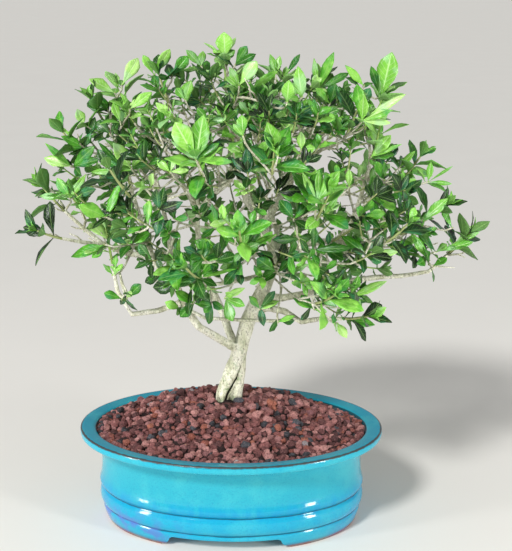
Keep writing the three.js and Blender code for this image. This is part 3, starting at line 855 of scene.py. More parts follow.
leaf = {
    "sections": (0.3, 0.68, 1),  # where along its middle line a solid blade has its rings
    "halfWidths": (3, 11),  # of a solid blade at its widest ring
    "thickest": 1.5,  # a solid blade is thinner than this there
    "thickness": 0.45,
    "across": 4,
    "along": 7,
    "rows": (0, 0.1, 0.24, 0.42, 0.6, 0.78, 0.92, 1),
    # share of the full width at each row, for a few kinds of outline
    "outlines": [
        (0.06, 0.12, 0.44, 0.81, 1.0, 0.80, 0.35, 0.02),
        (0.06, 0.18, 0.58, 0.93, 0.98, 0.70, 0.28, 0.02),
        (0.07, 0.10, 0.34, 0.70, 0.97, 0.92, 0.46, 0.03),
    ],
    "ruffle": (0.3, 1.5),  # how far the edges wave
    "waves": (7, 15),  # how fast they do, in radians over the length
    "edgeLag": 1.7,  # between the waves of the two edges
    "cup": 1.25,  # 1 folds a blade straight along its rib, and more rounds it
    "twist": 0.55,  # the most that a tip turns round the middle line, in radians
}


def leafShape(outline):
    # A flat blade: x runs from edge to edge, y from its stalk to its point, z through it.
    bm = bmesh.new()
    bmesh.ops.create_grid(bm, x_segments=leaf["across"], y_segments=leaf["along"], size=0.5)
    uv = bm.loops.layers.uv.new("UVMap")
    for face in bm.faces:
        for loop in face.loops:
            loop[uv].uv = (loop.vert.co.x + 0.5, leaf["rows"][round((loop.vert.co.y + 0.5) * leaf["along"])])
    for vert in bm.verts:
        row = round((vert.co.y + 0.5) * leaf["along"])
        vert.co.x *= 2 * outline[row]
        vert.co.y = leaf["rows"][row]
    bmesh.ops.solidify(bm, geom=bm.faces, thickness=leaf["thickness"])
    bmesh.ops.recalc_face_normals(bm, faces=bm.faces)
    middle = sum(vert.co.z for vert in bm.verts) / len(bm.verts)
    bmesh.ops.translate(bm, verts=bm.verts, vec=(0, 0, -middle))
    bm.normal_update()
    return {
        "uvs": [[tuple(loop[uv].uv) for loop in face.loops] for face in bm.faces],
        "under": [float(face.normal.z < -0.5) for face in bm.faces],
        "mesh": meshFrom(bm, "leaf_shape"),
    }


leafShapes = [leafShape(outline) for outline in leaf["outlines"]]


def newFoliage():
    bm = bmesh.new()
    return {
        "bm": bm,
        "uv": bm.loops.layers.uv.new("UVMap"),
        "tone": bm.faces.layers.float.new("tone"),
        "under": bm.faces.layers.float.new("under"),
        "stem": bm.faces.layers.float.new("stem"),
    }


def addLeaf(foliage, blade, draw, tone):
    # The blade's middle line is root + along * t + sag * t * t.
    shape = draw.choice(leafShapes)
    verts, faces = addCopy(foliage["bm"], shape["mesh"])
    ruffle = draw.uniform(*leaf["ruffle"]) * mm
    waves = draw.uniform(*leaf["waves"])
    start = draw.uniform(0, 6)
    twist = draw.uniform(-leaf["twist"], leaf["twist"])
    for vert in verts:
        across, part, depth = vert.co
        cosine, sine = math.cos(twist * part), math.sin(twist * part)
        side = blade["side"] * cosine + blade["face"] * sine
        face = blade["face"] * cosine - blade["side"] * sine
        stand = blade["fold"] * blade["half"] * abs(across) ** leaf["cup"] + depth * mm
        lag = leaf["edgeLag"] if across > 0 else 0
        stand += ruffle * across * across * math.sin(waves * part + start + lag)
        middle = blade["root"] + blade["along"] * part + blade["sag"] * part * part
        vert.co = middle + side * (across * blade["half"]) + face * stand
    for face, uvs, under in zip(faces, shape["uvs"], shape["under"]):
        face[foliage["tone"]] = tone
        face[foliage["under"]] = under
        for loop, value in zip(face.loops, uvs):
            loop[foliage["uv"]].uv = value


def addStem(foliage, route, radii):
    for face in addTube(foliage["bm"], route, radii, 5):
        face[foliage["stem"]] = 1


# how a blade is measured on its solid

def ringPairs(ring):
    # The near pair is the blade's two skins, and the far pair its two edges.
    pairs = [(0, 1, 2, 3), (0, 2, 1, 3), (0, 3, 1, 2), (1, 2, 0, 3), (1, 3, 0, 2), (2, 3, 0, 1)]
    order = min(pairs, key=lambda pair: (ring[pair[0]].co - ring[pair[1]].co).length)
    skins = [ring[i].co for i in order[:2]]
    edges = [ring[i].co for i in order[2:]]
    return (skins[0] + skins[1]) / 2, edges, (skins[0] - skins[1]).length


def measureBlade(tip):
    ring = [edge.other_vert(tip) for edge in tip.link_edges]
    if len(ring) != 4:
        return None
    second, edges, thickness = ringPairs(ring)
    half = (edges[0] - edges[1]).length / 2
    inner = {edge.other_vert(vert) for vert in ring for edge in vert.link_edges} - set(ring) - {tip}
    low, high = leaf["halfWidths"]
    if len(inner) != 4 or thickness > leaf["thickest"] * mm or not low * mm <= half <= high * mm:
        return None
    first = ringPairs(list(inner))[0]
    a, b, c = leaf["sections"]
    near, far = second - first, tip.co - second
    determinant = (b - a) * (c * c - b * b) - (b * b - a * a) * (c - b)
    along = (near * (c * c - b * b) - far * (b * b - a * a)) / determinant
    sag = (far * (b - a) - near * (c - b)) / determinant
    lift = (edges[0] + edges[1]) / 2 - second
    return {
        "root": tip.co - along - sag, "along": along, "sag": sag, "half": half,
        "side": (edges[0] - edges[1]).normalized(), "face": lift.normalized(), "fold": lift.length / half,
    }


# leaf finishes

# The bluish colour in each finish is a painted sheen that stands in for the sky's reflection.
leafPaints = {
    "mature": {
        "tones": [(0, "041904"), (0.3, "0d3607"), (0.6, "256610"), (0.85, "54a427"), (1, "8ccc52")],
        "under": "68984a", "vein": "a0cc78", "veinStrength": 0.4, "stem": "9ea86c", "skySheen": "368a5c",
    },
    "young": {
        "tones": [(0, "347a16"), (0.4, "58a02c"), (0.75, "88c84c"), (1, "b4e080")],
        "under": "94c474", "vein": "d2ecb0", "veinStrength": 0.55, "stem": "9cbc62", "skySheen": "a6d2a2",
    },
    "veinPairs": 8,
    "veinSlant": 0.42,
}


def leafMaterial(name, paints):
    material = newMaterial(name, {"Roughness": 0.28, "Coat Weight": 0.12, "Coat Roughness": 0.22, "IOR": 1.4})
    point = objectPoint(material)
    axes = axesOf(coordinate(material, "UV"))
    fromRib = calculate("ABSOLUTE", calculate("SUBTRACT", axes["X"], 0.5))
    slant = calculate("SUBTRACT", axes["Y"], times(fromRib, leafPaints["veinSlant"]))
    phase = calculate("FRACT", times(slant, leafPaints["veinPairs"]))
    sideVein = remap(calculate("ABSOLUTE", calculate("SUBTRACT", phase, 0.5)), 0.13, 0.02)
    rib = remap(fromRib, 0.06, 0.015)
    vein = calculate("MAXIMUM", rib, times(sideVein, 0.45))
    tone = attribute(material, "tone")
    cloud = remap(grainNoise(point, 7, 3), 0.3, 0.7, -0.12, 0.12)
    colour = colourRamp(calculate("ADD", tone, cloud), paints["tones"])
    # Painted reflection: a bluish, paler sheen of the sky is painted over some leaves.
    skySheen = remap(grainNoise(point, 16, 1), 0.54, 0.66, 0, 0.5)
    colour = blend(skySheen, colour, paints["skySheen"])
    under = attribute(material, "under")
    colour = blend(times(under, 0.7), colour, paints["under"])
    colour = blend(times(vein, paints["veinStrength"]), colour, paints["vein"])
    stem = attribute(material, "stem")
    colour = blend(stem, colour, paints["stem"])
    fine = grainNoise(point, 1.2, 3)
    height = calculate("SUBTRACT", times(fine, 0.25), vein)
    roughness = remap(calculate("MAXIMUM", under, stem), 0, 1, 0.3, 0.6)
    connectShader(colour, roughness, height, strength=0.5, depth=0.35)
    return material


matureLeaf = leafMaterial("gardenia_leaf", leafPaints["mature"])
youngLeaf = leafMaterial("young_gardenia_leaf", leafPaints["young"])


# shoots: the solid ones redone finely, and the many smaller ones between them

crown = {
    "centre": (25, 14, 318),
    # how far the leaves reach every 22.5 degrees, from +X by way of +Z
    "reach": [215, 157, 180, 156, 150, 165, 190, 203, 222, 185, 140, 120, 99, 125, 165, 170],
    "depth": 158,
    "allowance": 36,  # a shoot starts this far inside the reach
    "seed": 12,
    "shoots": 320,
    "spacing": 15.5,
    "tries": 12000,
    "inmost": 0.4,  # of the reach
    "crowding": 0.45,  # less than 1 sets more shoots near the outside
    "upward": 0.12,  # more sets more shoots in the upper half
    "lowest": -0.8,  # no shoot points down more steeply than this
    "leavesAt": 16,  # how far out of its start a shoot's leaves are
    "highFrom": 55,  # over the centre
    # see-through places, as x, y and radius in the photograph's pixels
    "openings": [
        (327, 163, 15), (183, 202, 10), (182, 244, 9), (229, 308, 7), (99, 196, 7), (342, 227, 7),
        (216, 328, 8), (252, 287, 6), (151, 226, 7), (83, 233, 8), (118, 213, 6), (125, 262, 11),
        (227, 195, 5), (220, 250, 6), (193, 237, 6), (282, 291, 6), (345, 150, 6), (360, 273, 6),
        (169, 289, 6), (350, 262, 6), (143, 300, 14), (396, 263, 14), (414, 224, 5), (143, 275, 9),
        (398, 92, 9), (392, 118, 8), (420, 138, 10), (350, 158, 9), (466, 208, 9), (32, 228, 11),
        (60, 112, 9),
    ],
}

shoot = {
    "stem": (12, 23),  # length
    "stemRadii": (0.9, 0.6),
    # height on the stem, angle from it and size of each pair of leaves, and how often one has dropped
    "pairs": [(0.36, 68, 0.82, 0.16), (0.64, 54, 1.0, 0.16), (0.88, 36, 0.88, 0.16), (1.0, 16, 0.55, 0.3)],
    "angleStray": 14,
    "turnStray": 0.35,
    "leafLength": (14, 27),
    "lengthSpread": (0.85, 1.12),
    "slimness": (0.19, 0.27),  # half width as a share of the length
    "sag": (0.03, 0.26),  # so too
    "fold": (0.12, 0.4),
    "roll": 0.45,  # the most that a blade turns about its length, in radians
    "leanUp": 0.25,
    "leanStray": 0.25,
    "toneStray": 0.25,
    # of a solid shoot, drawn finer
    "solidStemRadii": (1.45, 0.85),
    "tipLeaves": 3,  # the unfolded leaves at its tip
    "tipLeaf": (10, 19),
    "tipTurn": 2.4,
    "tipOut": (0.2, 0.5),
    "tipTone": 0.95,
    "twigRadii": (1.15, 0.85),
    "scar": 0.13,  # how much thicker a twig is where old leaves have left their scars
    "twigRing": 6,  # between the rings of a twig
    "twigChoices": 60,  # places on the wood that a twig may leave from
    "twigShortest": 9,
    "twigBend": 1.7,  # the nearer to 1, the straighter outwards the twigs grow
    "twigUp": (0.5, 1.1),
    "twigBow": 0.07,  # as a share of its length
    "spurs": 150,
    "spurFrom": 235,  # height over the foot
    "spurLength": (8, 24),
    "spurRadii": (0.95, 0.8, 0.6),
    "spurStray": 0.8,
    "spurBend": 0.15,  # as a share of its length
    "woodFrom": 150,  # twigs leave the wood above this height
    "youngShare": 0.2,
    "youngHigh": 0.42,  # share of young shoots near the top
    "youngSize": 0.86,
    "seed": 77,
}


def crownPoint(direction, share):
    count = len(crown["reach"])
    turn = math.atan2(direction.z, direction.x) / (2 * math.pi) * count % count
    first, part = int(turn), turn % 1
    reach = crown["reach"][first] * (1 - part) + crown["reach"][(first + 1) % count] * part
    across = (reach - crown["allowance"]) * share
    deep = (crown["depth"] - crown["allowance"]) * share
    offset = Vector((direction.x * across, direction.y * deep, direction.z * across))
    return place(*crown["centre"]) + offset * mm


def outwardFrom(point):
    return (point - place(*crown["centre"])).normalized()


def isOpening(point):
    seen = pixelOf(point)
    return any((seen - Vector((x, y))).length < radius for x, y, radius in crown["openings"])


def extraShoots(taken, draw):
    # Starts for more shoots, spread through the outer crown and clear of the ones before them.
    found = []
    for _ in range(crown["tries"]):
        direction = Vector([draw.gauss(middle, 1) for middle in (0, 0, crown["upward"])]).normalized()
        point = crownPoint(direction, draw.uniform(crown["inmost"], 1) ** crown["crowding"])
        leaves = point + (outwardFrom(point) + up * 0.6) * crown["leavesAt"] * mm
        if direction.z < crown["lowest"] or isOpening(leaves) or isOpening(point) or isHiding(leaves):
            continue
        if all((point - other).length > crown["spacing"] * mm for other in taken + found):
            found.append(point)
        if len(found) == crown["shoots"]:
            break
    return found


def curvedRoute(start, startPull, endPull, end, count):
    return geometry.interpolate_bezier(start, startPull, endPull, end, count)


def growTwig(bm, anchors, end, draw):
    # A twig from the wood that it can best leave while growing outwards.
    outward = outwardFrom(end)
    tree = treeOf(anchors)
    near = tree.find_n(end, shoot["twigChoices"])
    starts = [anchors[i] for _, i, distance in near if distance > shoot["twigShortest"] * mm]
    starts = starts or [anchors[tree.find(end)[1]]]
    bend = shoot["twigBend"]
    start = min(starts, key=lambda a: (end - a).length * (bend - (end - a).normalized().dot(outward)))
    span = (end - start).length
    facing = (outward + up * draw.uniform(*shoot["twigUp"])).normalized()
    bow = strayVector(draw, 1) * span * shoot["twigBow"]
    route = curvedRoute(
        start - (end - start).normalized() * mm,
        start.lerp(end, 0.33) + outward * span * 0.06 + bow,
        end - facing * span * 0.3,
        end, max(4, int(span / mm / shoot["twigRing"])),
    )
    radii = taper(*shoot["twigRadii"], len(route))
    addTube(bm, route, [radius + shoot["scar"] * mm * (i % 2) for i, radius in enumerate(radii)], 5)
    anchors.extend(route[2:-1])
    return (route[-1] - route[-2]).normalized()


def toneNear(tone, draw):
    return min(1, max(0, tone + draw.uniform(-shoot["toneStray"], shoot["toneStray"])))


def dressShoot(foliage, base, heading, draw, young):
    # A stem with pairs of leaves, each pair turned a quarter from the last.
    length = draw.uniform(*shoot["stem"]) * mm
    lean = (heading + up * shoot["leanUp"] + strayVector(draw, shoot["leanStray"])).normalized()
    tip = base + (heading + lean).normalized() * length
    firstPull, lastPull = base + heading * length * 0.4, tip - lean * length * 0.3
    route = curvedRoute(base - heading * 0.5 * mm, firstPull, lastPull, tip, 6)
    addStem(foliage, route, taper(*shoot["stemRadii"], len(route)))
    sideways = lean.orthogonal().normalized()
    turn = draw.uniform(0, 2 * math.pi)
    tone = draw.random()
    size = draw.uniform(*shoot["leafLength"]) * (shoot["youngSize"] if young else 1)
    for level, (height, spread, share, dropped) in enumerate(shoot["pairs"]):
        for side in (0, 1):
            if draw.random() < dropped:
                continue
            stray = draw.uniform(-shoot["turnStray"], shoot["turnStray"])
            angle = turn + level * math.pi / 2 + side * math.pi + stray
            out = Matrix.Rotation(angle, 3, lean) @ sideways
            opening = math.radians(spread + draw.uniform(-shoot["angleStray"], shoot["angleStray"]))
            along = (lean * math.cos(opening) + out * math.sin(opening)).normalized()
            at = route[0].lerp(tip, height) if height == 1 else route[min(5, round(height * 5))]
            reach = size * share * draw.uniform(*shoot["lengthSpread"])
            addLeaf(foliage, bladeFrom(at, along, lean, reach, draw), draw, toneNear(tone, draw))


def bladeFrom(root, along, axis, length, draw):
    face = (axis - along * axis.dot(along)).normalized()
    face.rotate(Matrix.Rotation(draw.uniform(-shoot["roll"], shoot["roll"]), 3, along))
    return {
        "root": root,
        "along": along * length * mm,
        "sag": -face * draw.uniform(*shoot["sag"]) * length * mm,
        "side": along.cross(face).normalized(),
        "face": face,
        "half": length * draw.uniform(*shoot["slimness"]) * mm,
        "fold": draw.uniform(*shoot["fold"]),
    }


def stemRoute(bm, blades, woodTree):
    # From the end nearest the wood, by way of the middles of the pairs of leaf roots.
    ends = sorted(bm.verts, key=lambda vert: woodTree.find(vert.co)[2])[:3]
    base = sum((vert.co for vert in ends), Vector()) / 3
    roots = sorted((blade["root"] for blade in blades), key=lambda root: (root - base).length)
    route = [base]
    while roots:
        near = [root for root in roots if (root - roots[0]).length < 4 * mm]
        route.append(sum(near, Vector()) / len(near))
        roots = [root for root in roots if root not in near]
    return route


def leafyPiece(foliage, name, young):
    if young:
        return pieceFrom(foliage["bm"], name, youngLeaf)
    return pieceFrom(foliage["bm"], name, matureLeaf)


def redoSpray(name, woodTree, draw):
    solid = mergedCopy(name)
    blades = [blade for blade in map(measureBlade, solid.verts) if blade]
    route = stemRoute(solid, blades, woodTree)
    solid.free()
    young = slots[name] == "young_leaf"
    foliage = newFoliage()
    tone = draw.random()
    for blade in blades:
        addLeaf(foliage, blade, draw, toneNear(tone, draw))
    heading = (route[-1] - route[-2]).normalized()
    route.append(route[-1] + heading * 2 * mm)
    stem = [route[0] - (route[1] - route[0]).normalized() * 0.6 * mm] + route[1:]
    addStem(foliage, stem, taper(*shoot["solidStemRadii"], len(stem)))
    # The unfolded leaves at the tip are too small to be in the solid.
    sideways = heading.orthogonal().normalized()
    for i in range(shoot["tipLeaves"]):
        out = Matrix.Rotation(i * shoot["tipTurn"] + tone * 6, 3, heading) @ sideways
        along = (heading + out * draw.uniform(*shoot["tipOut"])).normalized()
        blade = bladeFrom(route[-1], along, heading, draw.uniform(*shoot["tipLeaf"]), draw)
        addLeaf(foliage, blade, draw, shoot["tipTone"])
    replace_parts(leafyPiece(foliage, "leafy_" + name, young), name)
    return len(blades), route[0]


# shoots that stand out in the photograph, and the twigs that carry them

portrait = {
    # Each shoot has the pixel of its stalk, its depth behind the pot's middle and its leaves, as the
    # pixel of the point, the width and 1 where the leaf is young.
    "shoots": [
        # along the top, from left to right
        (48, 187, 0, [(29, 181, 8, 1), (38, 198, 6, 0)]),
        (72, 167, -16, [(95, 146, 12, 0), (99, 160, 10, 0), (45, 143, 7, 0), (44, 158, 11, 1)]),
        (84, 125, 0, [(77, 109, 10, 1)]),
        (84, 147, -8, [(61, 136, 9, 0), (91, 133, 8, 0), (62, 148, 8, 0), (58, 125, 3, 1)]),
        (89, 139, 4, [(95, 117, 7, 0), (88, 122, 8, 0)]),
        (127, 172, -24, [(101, 158, 9, 0), (91, 172, 6, 1), (98, 142, 5, 0)]),
        (70, 198, -28, [(86, 174, 7, 1), (96, 189, 9, 0), (57, 178, 10, 0), (40, 196, 7, 1)]),
        (110, 134, -14, [(97, 121, 13, 0)]),
        (108, 110, 6, [(87, 104, 12, 0), (99, 96, 9, 0)]),
        (115, 93, 12, [(89, 79, 12, 1)]),
        (120, 121, -30, [(113, 103, 9, 1)]),
        (122, 85, 16, [(138, 58, 13, 1)]),
        (130, 109, -20, [(152, 92, 10, 1), (121, 93, 5, 1)]),
        (131, 168, -64, [(113, 143, 16, 1), (142, 153, 9, 1)]),
        (154, 75, 34, [(170, 49, 11, 1), (143, 55, 8, 0)]),
        (172, 76, 20, [(188, 56, 12, 0)]),
        (185, 100, -50, [(191, 80, 8, 1), (176, 88, 8, 1)]),
        (201, 66, 28, [(186, 50, 9, 1), (203, 51, 8, 1)]),
        (225, 58, 24, [(224, 32, 17, 1), (213, 50, 7, 1), (235, 50, 7, 1)]),
        (235, 65, 18, [(247, 46, 10, 0), (256, 54, 9, 0)]),
        (239, 86, -40, [(257, 61, 14, 1), (229, 67, 8, 1)]),
        (276, 74, 8, [(270, 54, 7, 1), (280, 56, 7, 1)]),
        (251, 89, -20, [(278, 71, 8, 0), (266, 96, 9, 0)]),
        (273, 92, -10, [(262, 76, 9, 0), (284, 82, 8, 0)]),
        (285, 76, 14, [(300, 54, 6, 0)]),
        (287, 102, -76, [(289, 80, 12, 1)]),
        (302, 97, -34, [(298, 66, 12, 1), (290, 82, 6, 1)]),
        (318, 90, 10, [(349, 73, 8, 0), (334, 52, 10, 0), (314, 58, 6, 1)]),
        (330, 104, -6, [(336, 84, 13, 0), (316, 88, 8, 0)]),
        (347, 106, -2, [(339, 86, 9, 0), (356, 92, 8, 0)]),
        (364, 86, 14, [(345, 65, 8, 0)]),
        (381, 97, 18, [(392, 52, 21, 1), (371, 66, 8, 0)]),
        # the front
        (196, 160, -112, [
            (204, 114, 19, 1), (175, 122, 18, 1), (171, 141, 5, 1), (234, 162, 8, 0),
            (219, 143, 7, 0),
        ]),
        (170, 172, -84, [(157, 160, 8, 1), (189, 170, 6, 1), (176, 159, 5, 1)]),
        (209, 193, -60, [(205, 171, 8, 0)]),
        (243, 136, -114, [(242, 115, 10, 1), (233, 124, 6, 1)]),
        (252, 156, -88, [(243, 137, 7, 0), (269, 142, 8, 0)]),
        (278, 156, -112, [(267, 122, 15, 1), (296, 144, 6, 0)]),
        (301, 150, -64, [(301, 131, 8, 1), (315, 148, 8, 1)]),
        (294, 219, -88, [(279, 200, 12, 0), (306, 208, 4, 0)]),
        (317, 202, -104, [(340, 171, 15, 1), (302, 171, 7, 1), (308, 178, 12, 0), (319, 169, 6, 1)]),
        (323, 216, -84, [(338, 196, 6, 1), (296, 198, 4, 1)]),
        (243, 250, -98, [
            (234, 227, 8, 1), (246, 222, 9, 1), (260, 225, 12, 0), (221, 233, 6, 0),
            (277, 234, 6, 0),
        ]),
        (299, 239, -80, [(272, 240, 9, 0)]),
        (308, 248, -72, [(294, 230, 5, 1)]),
        (314, 250, -76, [(353, 248, 9, 0)]),
        (215, 226, -40, [(212, 204, 12, 0), (234, 201, 8, 0)]),
        (174, 219, -50, [(170, 203, 8, 0), (188, 218, 7, 0)]),
        # the right
        (362, 121, -40, [
            (364, 94, 11, 1), (357, 84, 11, 0), (406, 94, 7, 1), (392, 110, 8, 0),
            (391, 123, 7, 1),
        ]),
        (371, 157, -24, [(391, 135, 12, 1), (402, 144, 5, 0)]),
        (400, 167, 0, [(389, 154, 5, 0), (415, 151, 7, 1)]),
        (384, 180, -40, [(376, 161, 9, 0)]),
        (349, 187, -56, [(349, 169, 7, 1)]),
        (428, 182, -6, [(431, 162, 7, 1), (453, 166, 3, 1), (452, 184, 5, 1)]),
        (424, 219, -10, [(448, 198, 11, 1)]),
        (452, 228, 4, [(441, 206, 7, 0)]),
        (455, 243, 4, [(485, 222, 10, 1), (480, 232, 5, 1)]),
        (436, 252, -6, [(473, 242, 8, 1), (418, 230, 9, 0), (447, 244, 8, 1)]),
        (429, 260, -10, [(411, 234, 9, 0), (404, 252, 4, 1)]),
        (418, 254, -6, [(400, 241, 10, 0)]),
        (433, 266, -12, [(447, 258, 9, 0)]),
        (366, 255, -32, [(398, 252, 8, 1), (341, 236, 13, 0)]),
        (352, 297, -30, [(387, 281, 9, 1), (367, 302, 7, 0)]),
        (318, 296, -50, [(337, 308, 8, 0), (312, 280, 5, 1), (331, 298, 8, 0)]),
        (314, 309, -46, [(293, 298, 9, 0), (301, 295, 9, 0), (327, 312, 6, 1)]),
        (291, 273, -56, [(309, 264, 7, 1), (308, 279, 6, 1), (301, 289, 7, 0), (281, 283, 7, 0)]),
        (278, 322, -48, [(295, 316, 6, 0)]),
        (348, 319, -30, [(375, 325, 11, 0)]),
        (337, 323, -34, [(347, 338, 9, 1)]),
        # low in the middle and on the left
        (199, 278, -72, [
            (164, 258, 9, 1), (218, 258, 9, 1), (197, 261, 7, 0), (217, 265, 9, 0),
            (184, 252, 10, 0), (173, 285, 9, 0), (236, 269, 4, 0), (217, 286, 8, 0),
        ]),
        (215, 261, -70, [(236, 256, 12, 0)]),
        (276, 272, -64, [(257, 258, 14, 0)]),
        (238, 268, -56, [(224, 285, 10, 0)]),
        (225, 298, -68, [(245, 288, 8, 1), (245, 306, 9, 1)]),
        (211, 304, -50, [(201, 292, 9, 0), (204, 313, 8, 0)]),
        (260, 309, -42, [(249, 296, 7, 0), (275, 291, 8, 0), (279, 301, 7, 1)]),
        (193, 303, -56, [(175, 291, 11, 0), (198, 291, 6, 1), (211, 305, 8, 0), (180, 317, 10, 0)]),
        (180, 309, -52, [(165, 302, 9, 0)]),
        (172, 287, -50, [(190, 278, 9, 0)]),
        (128, 244, -42, [(150, 233, 12, 0), (110, 236, 8, 0)]),
        (106, 217, -40, [(121, 183, 10, 0), (124, 197, 7, 1), (78, 205, 15, 0)]),
        (105, 245, -44, [(71, 257, 12, 0), (92, 258, 9, 0)]),
        (113, 275, -50, [(103, 264, 5, 1), (123, 264, 5, 1)]),
        (122, 299, -54, [(104, 293, 9, 0)]),
        (127, 298, -52, [(141, 284, 10, 0), (131, 291, 7, 1)]),
    ],
    "extraLeaves": 2,
    "extraLength": (14, 24),
    "extraTurn": 2.3,
    "extraTurnStray": 1.5,
    "extraLean": (0.2, 0.9),
    "extraBack": (2, 5),  # how far behind the root they start
    "extraTones": (0.1, 0.7),
    "tones": (0.4, 1),
    "stalkReach": (5, 1.5),  # behind and past the root
    "stalkRadii": (0.9, 0.75, 0.5),
    "depthStray": 6,
    "faceStray": 0.3,
    "sag": 0.08,  # as a share of the length
    "fold": (0.12, 0.25),
    "clearWidth": 12,  # no seeded shoot hides a leaf at least this wide
    "behind": 10,  # a shoot further behind its stalk than this doesn't hide it
    "clearance": 15,  # in pixels
    "seed": 5,
}

frontTwig = {
    "start": (176, 308),
    "route": [(205, 318), (240, 320), (275, 321), (296, 318)],
    "depths": (-10, -16),  # of its start and of the rest
    "radius": 1.75,
    "steps": 4,  # between two points of the route
}


def portraitBlade(root, tip, width, draw):
    toCamera = (place(*camera["position"]) - root).normalized()
    along = tip - root
    stray = draw.uniform(-portrait["faceStray"], portrait["faceStray"])
    face = (toCamera + up * 0.35 + Vector((stray, 0, 0))).normalized()
    face = (face - along.normalized() * face.dot(along.normalized())).normalized()
    sag = -face * portrait["sag"] * along.length
    return {
        "root": root,
        "along": along - sag,
        "sag": sag,
        "side": along.cross(face).normalized(),
        "face": face,
        "half": width / 2 * mm,
        "fold": draw.uniform(*portrait["fold"]),
    }


def isHiding(point):
    # Whether a leaf at the point would hide a wide leaf of the portrait.
    seen = pixelOf(point)
    behind = (point.y - potMiddle.y) / mm
    for x, y, depth, leaves in portrait["shoots"]:
        if behind > depth + portrait["behind"]:
            continue
        for tipX, tipY, width, _ in leaves:
            middle = Vector((x + tipX, y + tipY)) / 2
            if width >= portrait["clearWidth"] and (seen - middle).length < portrait["clearance"]:
                return True
    return False


def makeFrontTwig(bm, anchors):
    # The thin straight branch that crosses in front of the trunk.
    startDepth, depth = frontTwig["depths"]
    left = behindPixel(*frontTwig["start"], startDepth)
    start = min(anchors, key=lambda anchor: (anchor - left).length)
    route = [start] + [behindPixel(x, y, depth) for x, y in frontTwig["route"]]
    steps = frontTwig["steps"]
    smooth = []
    for here, there in zip(route, route[1:]):
        smooth += [here.lerp(there, part / steps) for part in range(steps)]
    smooth.append(route[-1])
    radius = frontTwig["radius"] * mm
    addTube(bm, smooth, [radius * (1 + 0.06 * (i % 2)) for i in range(len(smooth))], 6)
    anchors.extend(smooth[2:-1])


def groupOf(groups, side, young):
    if (side, young) not in groups:
        groups[side, young] = newFoliage()
    return groups[side, young]


def addPortrait(groups, twigs, anchors, draw):
    # The shoots that the photograph shows. It returns where they start.
    depthStray = portrait["depthStray"]
    behind, past = portrait["stalkReach"]
    roots = []
    for x, y, depth, leaves in portrait["shoots"]:
        root = behindPixel(x, y, depth)
        roots.append(root)
        heading = growTwig(twigs, anchors, root, draw)
        for tipX, tipY, width, young in leaves:
            tip = behindPixel(tipX, tipY, depth - draw.uniform(-depthStray, depthStray))
            blade = portraitBlade(root, tip, width, draw)
            addLeaf(groupOf(groups, "front", young), blade, draw, draw.uniform(*portrait["tones"]))
        foliage = groupOf(groups, "front", leaves[0][-1])
        stalk = [root - heading * behind * mm, root, root + heading * past * mm]
        addStem(foliage, stalk, [radius * mm for radius in portrait["stalkRadii"]])
        axis = (heading + up * 0.3).normalized()
        for i in range(portrait["extraLeaves"]):
            turn = i * portrait["extraTurn"] + draw.uniform(0, portrait["extraTurnStray"])
            out = Matrix.Rotation(turn, 3, axis) @ axis.orthogonal().normalized()
            along = (axis * draw.uniform(*portrait["extraLean"]) + out).normalized()
            base = root - heading * draw.uniform(*portrait["extraBack"]) * mm
            blade = bladeFrom(base, along, axis, draw.uniform(*portrait["extraLength"]), draw)
            addLeaf(foliage, blade, draw, draw.uniform(*portrait["extraTones"]))
    return roots


def addSpurs(bm, anchors, draw):
    # Short bare twigs, left where shoots have died back.
    high = [anchor for anchor in anchors if anchor.z > shoot["spurFrom"] * mm]
    for anchor in draw.sample(high, shoot["spurs"]):
        heading = outwardFrom(anchor) + up * 0.6 + strayVector(draw, shoot["spurStray"])
        reach = heading.normalized() * draw.uniform(*shoot["spurLength"]) * mm
        bend = reach.orthogonal() * draw.uniform(-shoot["spurBend"], shoot["spurBend"])
        route = [anchor - reach * 0.05, anchor + reach * 0.5 + bend, anchor + reach]
        addTube(bm, route, [radius * mm for radius in shoot["spurRadii"]], 5)


def addCrown(groups, twigs, anchors, taken):
    draw = random.Random(crown["seed"])
    middle = place(*crown["centre"])
    starts = extraShoots(taken, draw)
    starts.sort(key=lambda point: (point - middle).length)
    for start in starts:
        heading = growTwig(twigs, anchors, start, draw)
        high = (start.z - middle.z) / mm > crown["highFrom"]
        young = draw.random() < (shoot["youngHigh"] if high else shoot["youngShare"])
        side = ("left", "right")[start.x > middle.x] + ("_back", "_front")[start.y < middle.y]
        dressShoot(groupOf(groups, side, young), start, heading, draw, young)
    print("stage: shoots added,", len(starts))


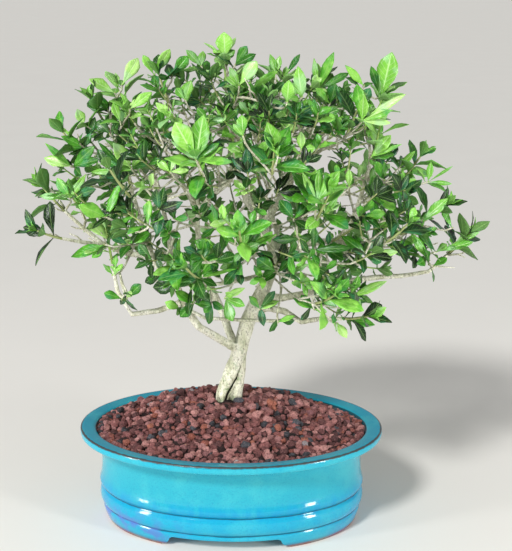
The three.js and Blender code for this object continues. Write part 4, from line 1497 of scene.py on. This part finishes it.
def makeFoliage():
    woodCopy = mergedCopy("wood")
    anchors = [vert.co.copy() for vert in woodCopy.verts if vert.co.z > shoot["woodFrom"] * mm]
    woodCopy.free()
    woodTree = treeOf(anchors)
    draw = random.Random(shoot["seed"])
    sprays = [redoSpray(name, woodTree, draw) for name in sorted(nodes) if name.startswith("spray_")]
    print("stage: leafy shoots redone,", sum(count for count, _ in sprays), "solid leaves read")

    twigs = bmesh.new()
    makeFrontTwig(twigs, anchors)
    groups = {}
    draw = random.Random(portrait["seed"])
    roots = addPortrait(groups, twigs, anchors, draw)
    addSpurs(twigs, anchors, draw)
    addCrown(groups, twigs, anchors, [base for _, base in sprays] + roots)
    for (side, young), foliage in groups.items():
        leafyPiece(foliage, ("young_" if young else "") + "foliage_" + side, young)
    pieceFrom(twigs, "fine_twigs", bark)


makeFoliage()


# stage and light

light = {
    "floor": "e8e5de",
    "floorCloud": "cfccc6",
    "floorReach": 40,  # from the middle to an edge, in metres
    "sky": "f2f4f7",
    "skyStrength": 0.38,
    "sun": {"from": (-520, -950, 1150), "strength": 2.3, "spread": 10},
    # name, where from the pot's middle, width, height, power in watts
    "panels": [
        ("panel_left", (-1090, -660, 300), 0.17, 0.55, 10),
        ("panel_right", (1040, -760, 300), 0.17, 0.55, 10.5),
    ],
    "aim": (0, 0, 220),
}


def makeStage():
    bm = bmesh.new()
    bmesh.ops.create_grid(bm, x_segments=2, y_segments=2, size=light["floorReach"])
    floor = newObject("floor", meshFrom(bm, "floor"))
    material = newMaterial("pale_floor", {"Roughness": 0.8})
    cloud = grainNoise(objectPoint(material), 180, 3)
    colour = blend(remap(cloud, 0.3, 0.7, 0, 0.08), paint(light["floor"]), light["floorCloud"])
    connectShader(colour)
    floor.data.materials.append(material)


def addLamp(name, kind, spot, **settings):
    data = bpy.data.lights.new(name, kind)
    for setting, value in settings.items():
        setattr(data, setting, value)
    lamp = newObject(name, data)
    start = place(*spot)
    turn = (place(*light["aim"]) - start).to_track_quat("-Z", "Y").to_matrix().to_4x4()
    lamp.matrix_world = Matrix.Translation(start) @ turn


def makeLights():
    sun = light["sun"]
    addLamp("key", "SUN", sun["from"], energy=sun["strength"], angle=math.radians(sun["spread"]))
    for name, spot, width, height, power in light["panels"]:
        addLamp(name, "AREA", spot, energy=power, shape="RECTANGLE", size=width, size_y=height)
    world = bpy.data.worlds.new("studio")
    world.use_nodes = True
    background = world.node_tree.nodes["Background"]
    background.inputs["Color"].default_value = paint(light["sky"])
    background.inputs["Strength"].default_value = light["skyStrength"]
    bpy.context.scene.world = world


makeStage()
makeLights()
bpy.context.scene.view_settings.view_transform = "Standard"
print("stage: floor and lights set")
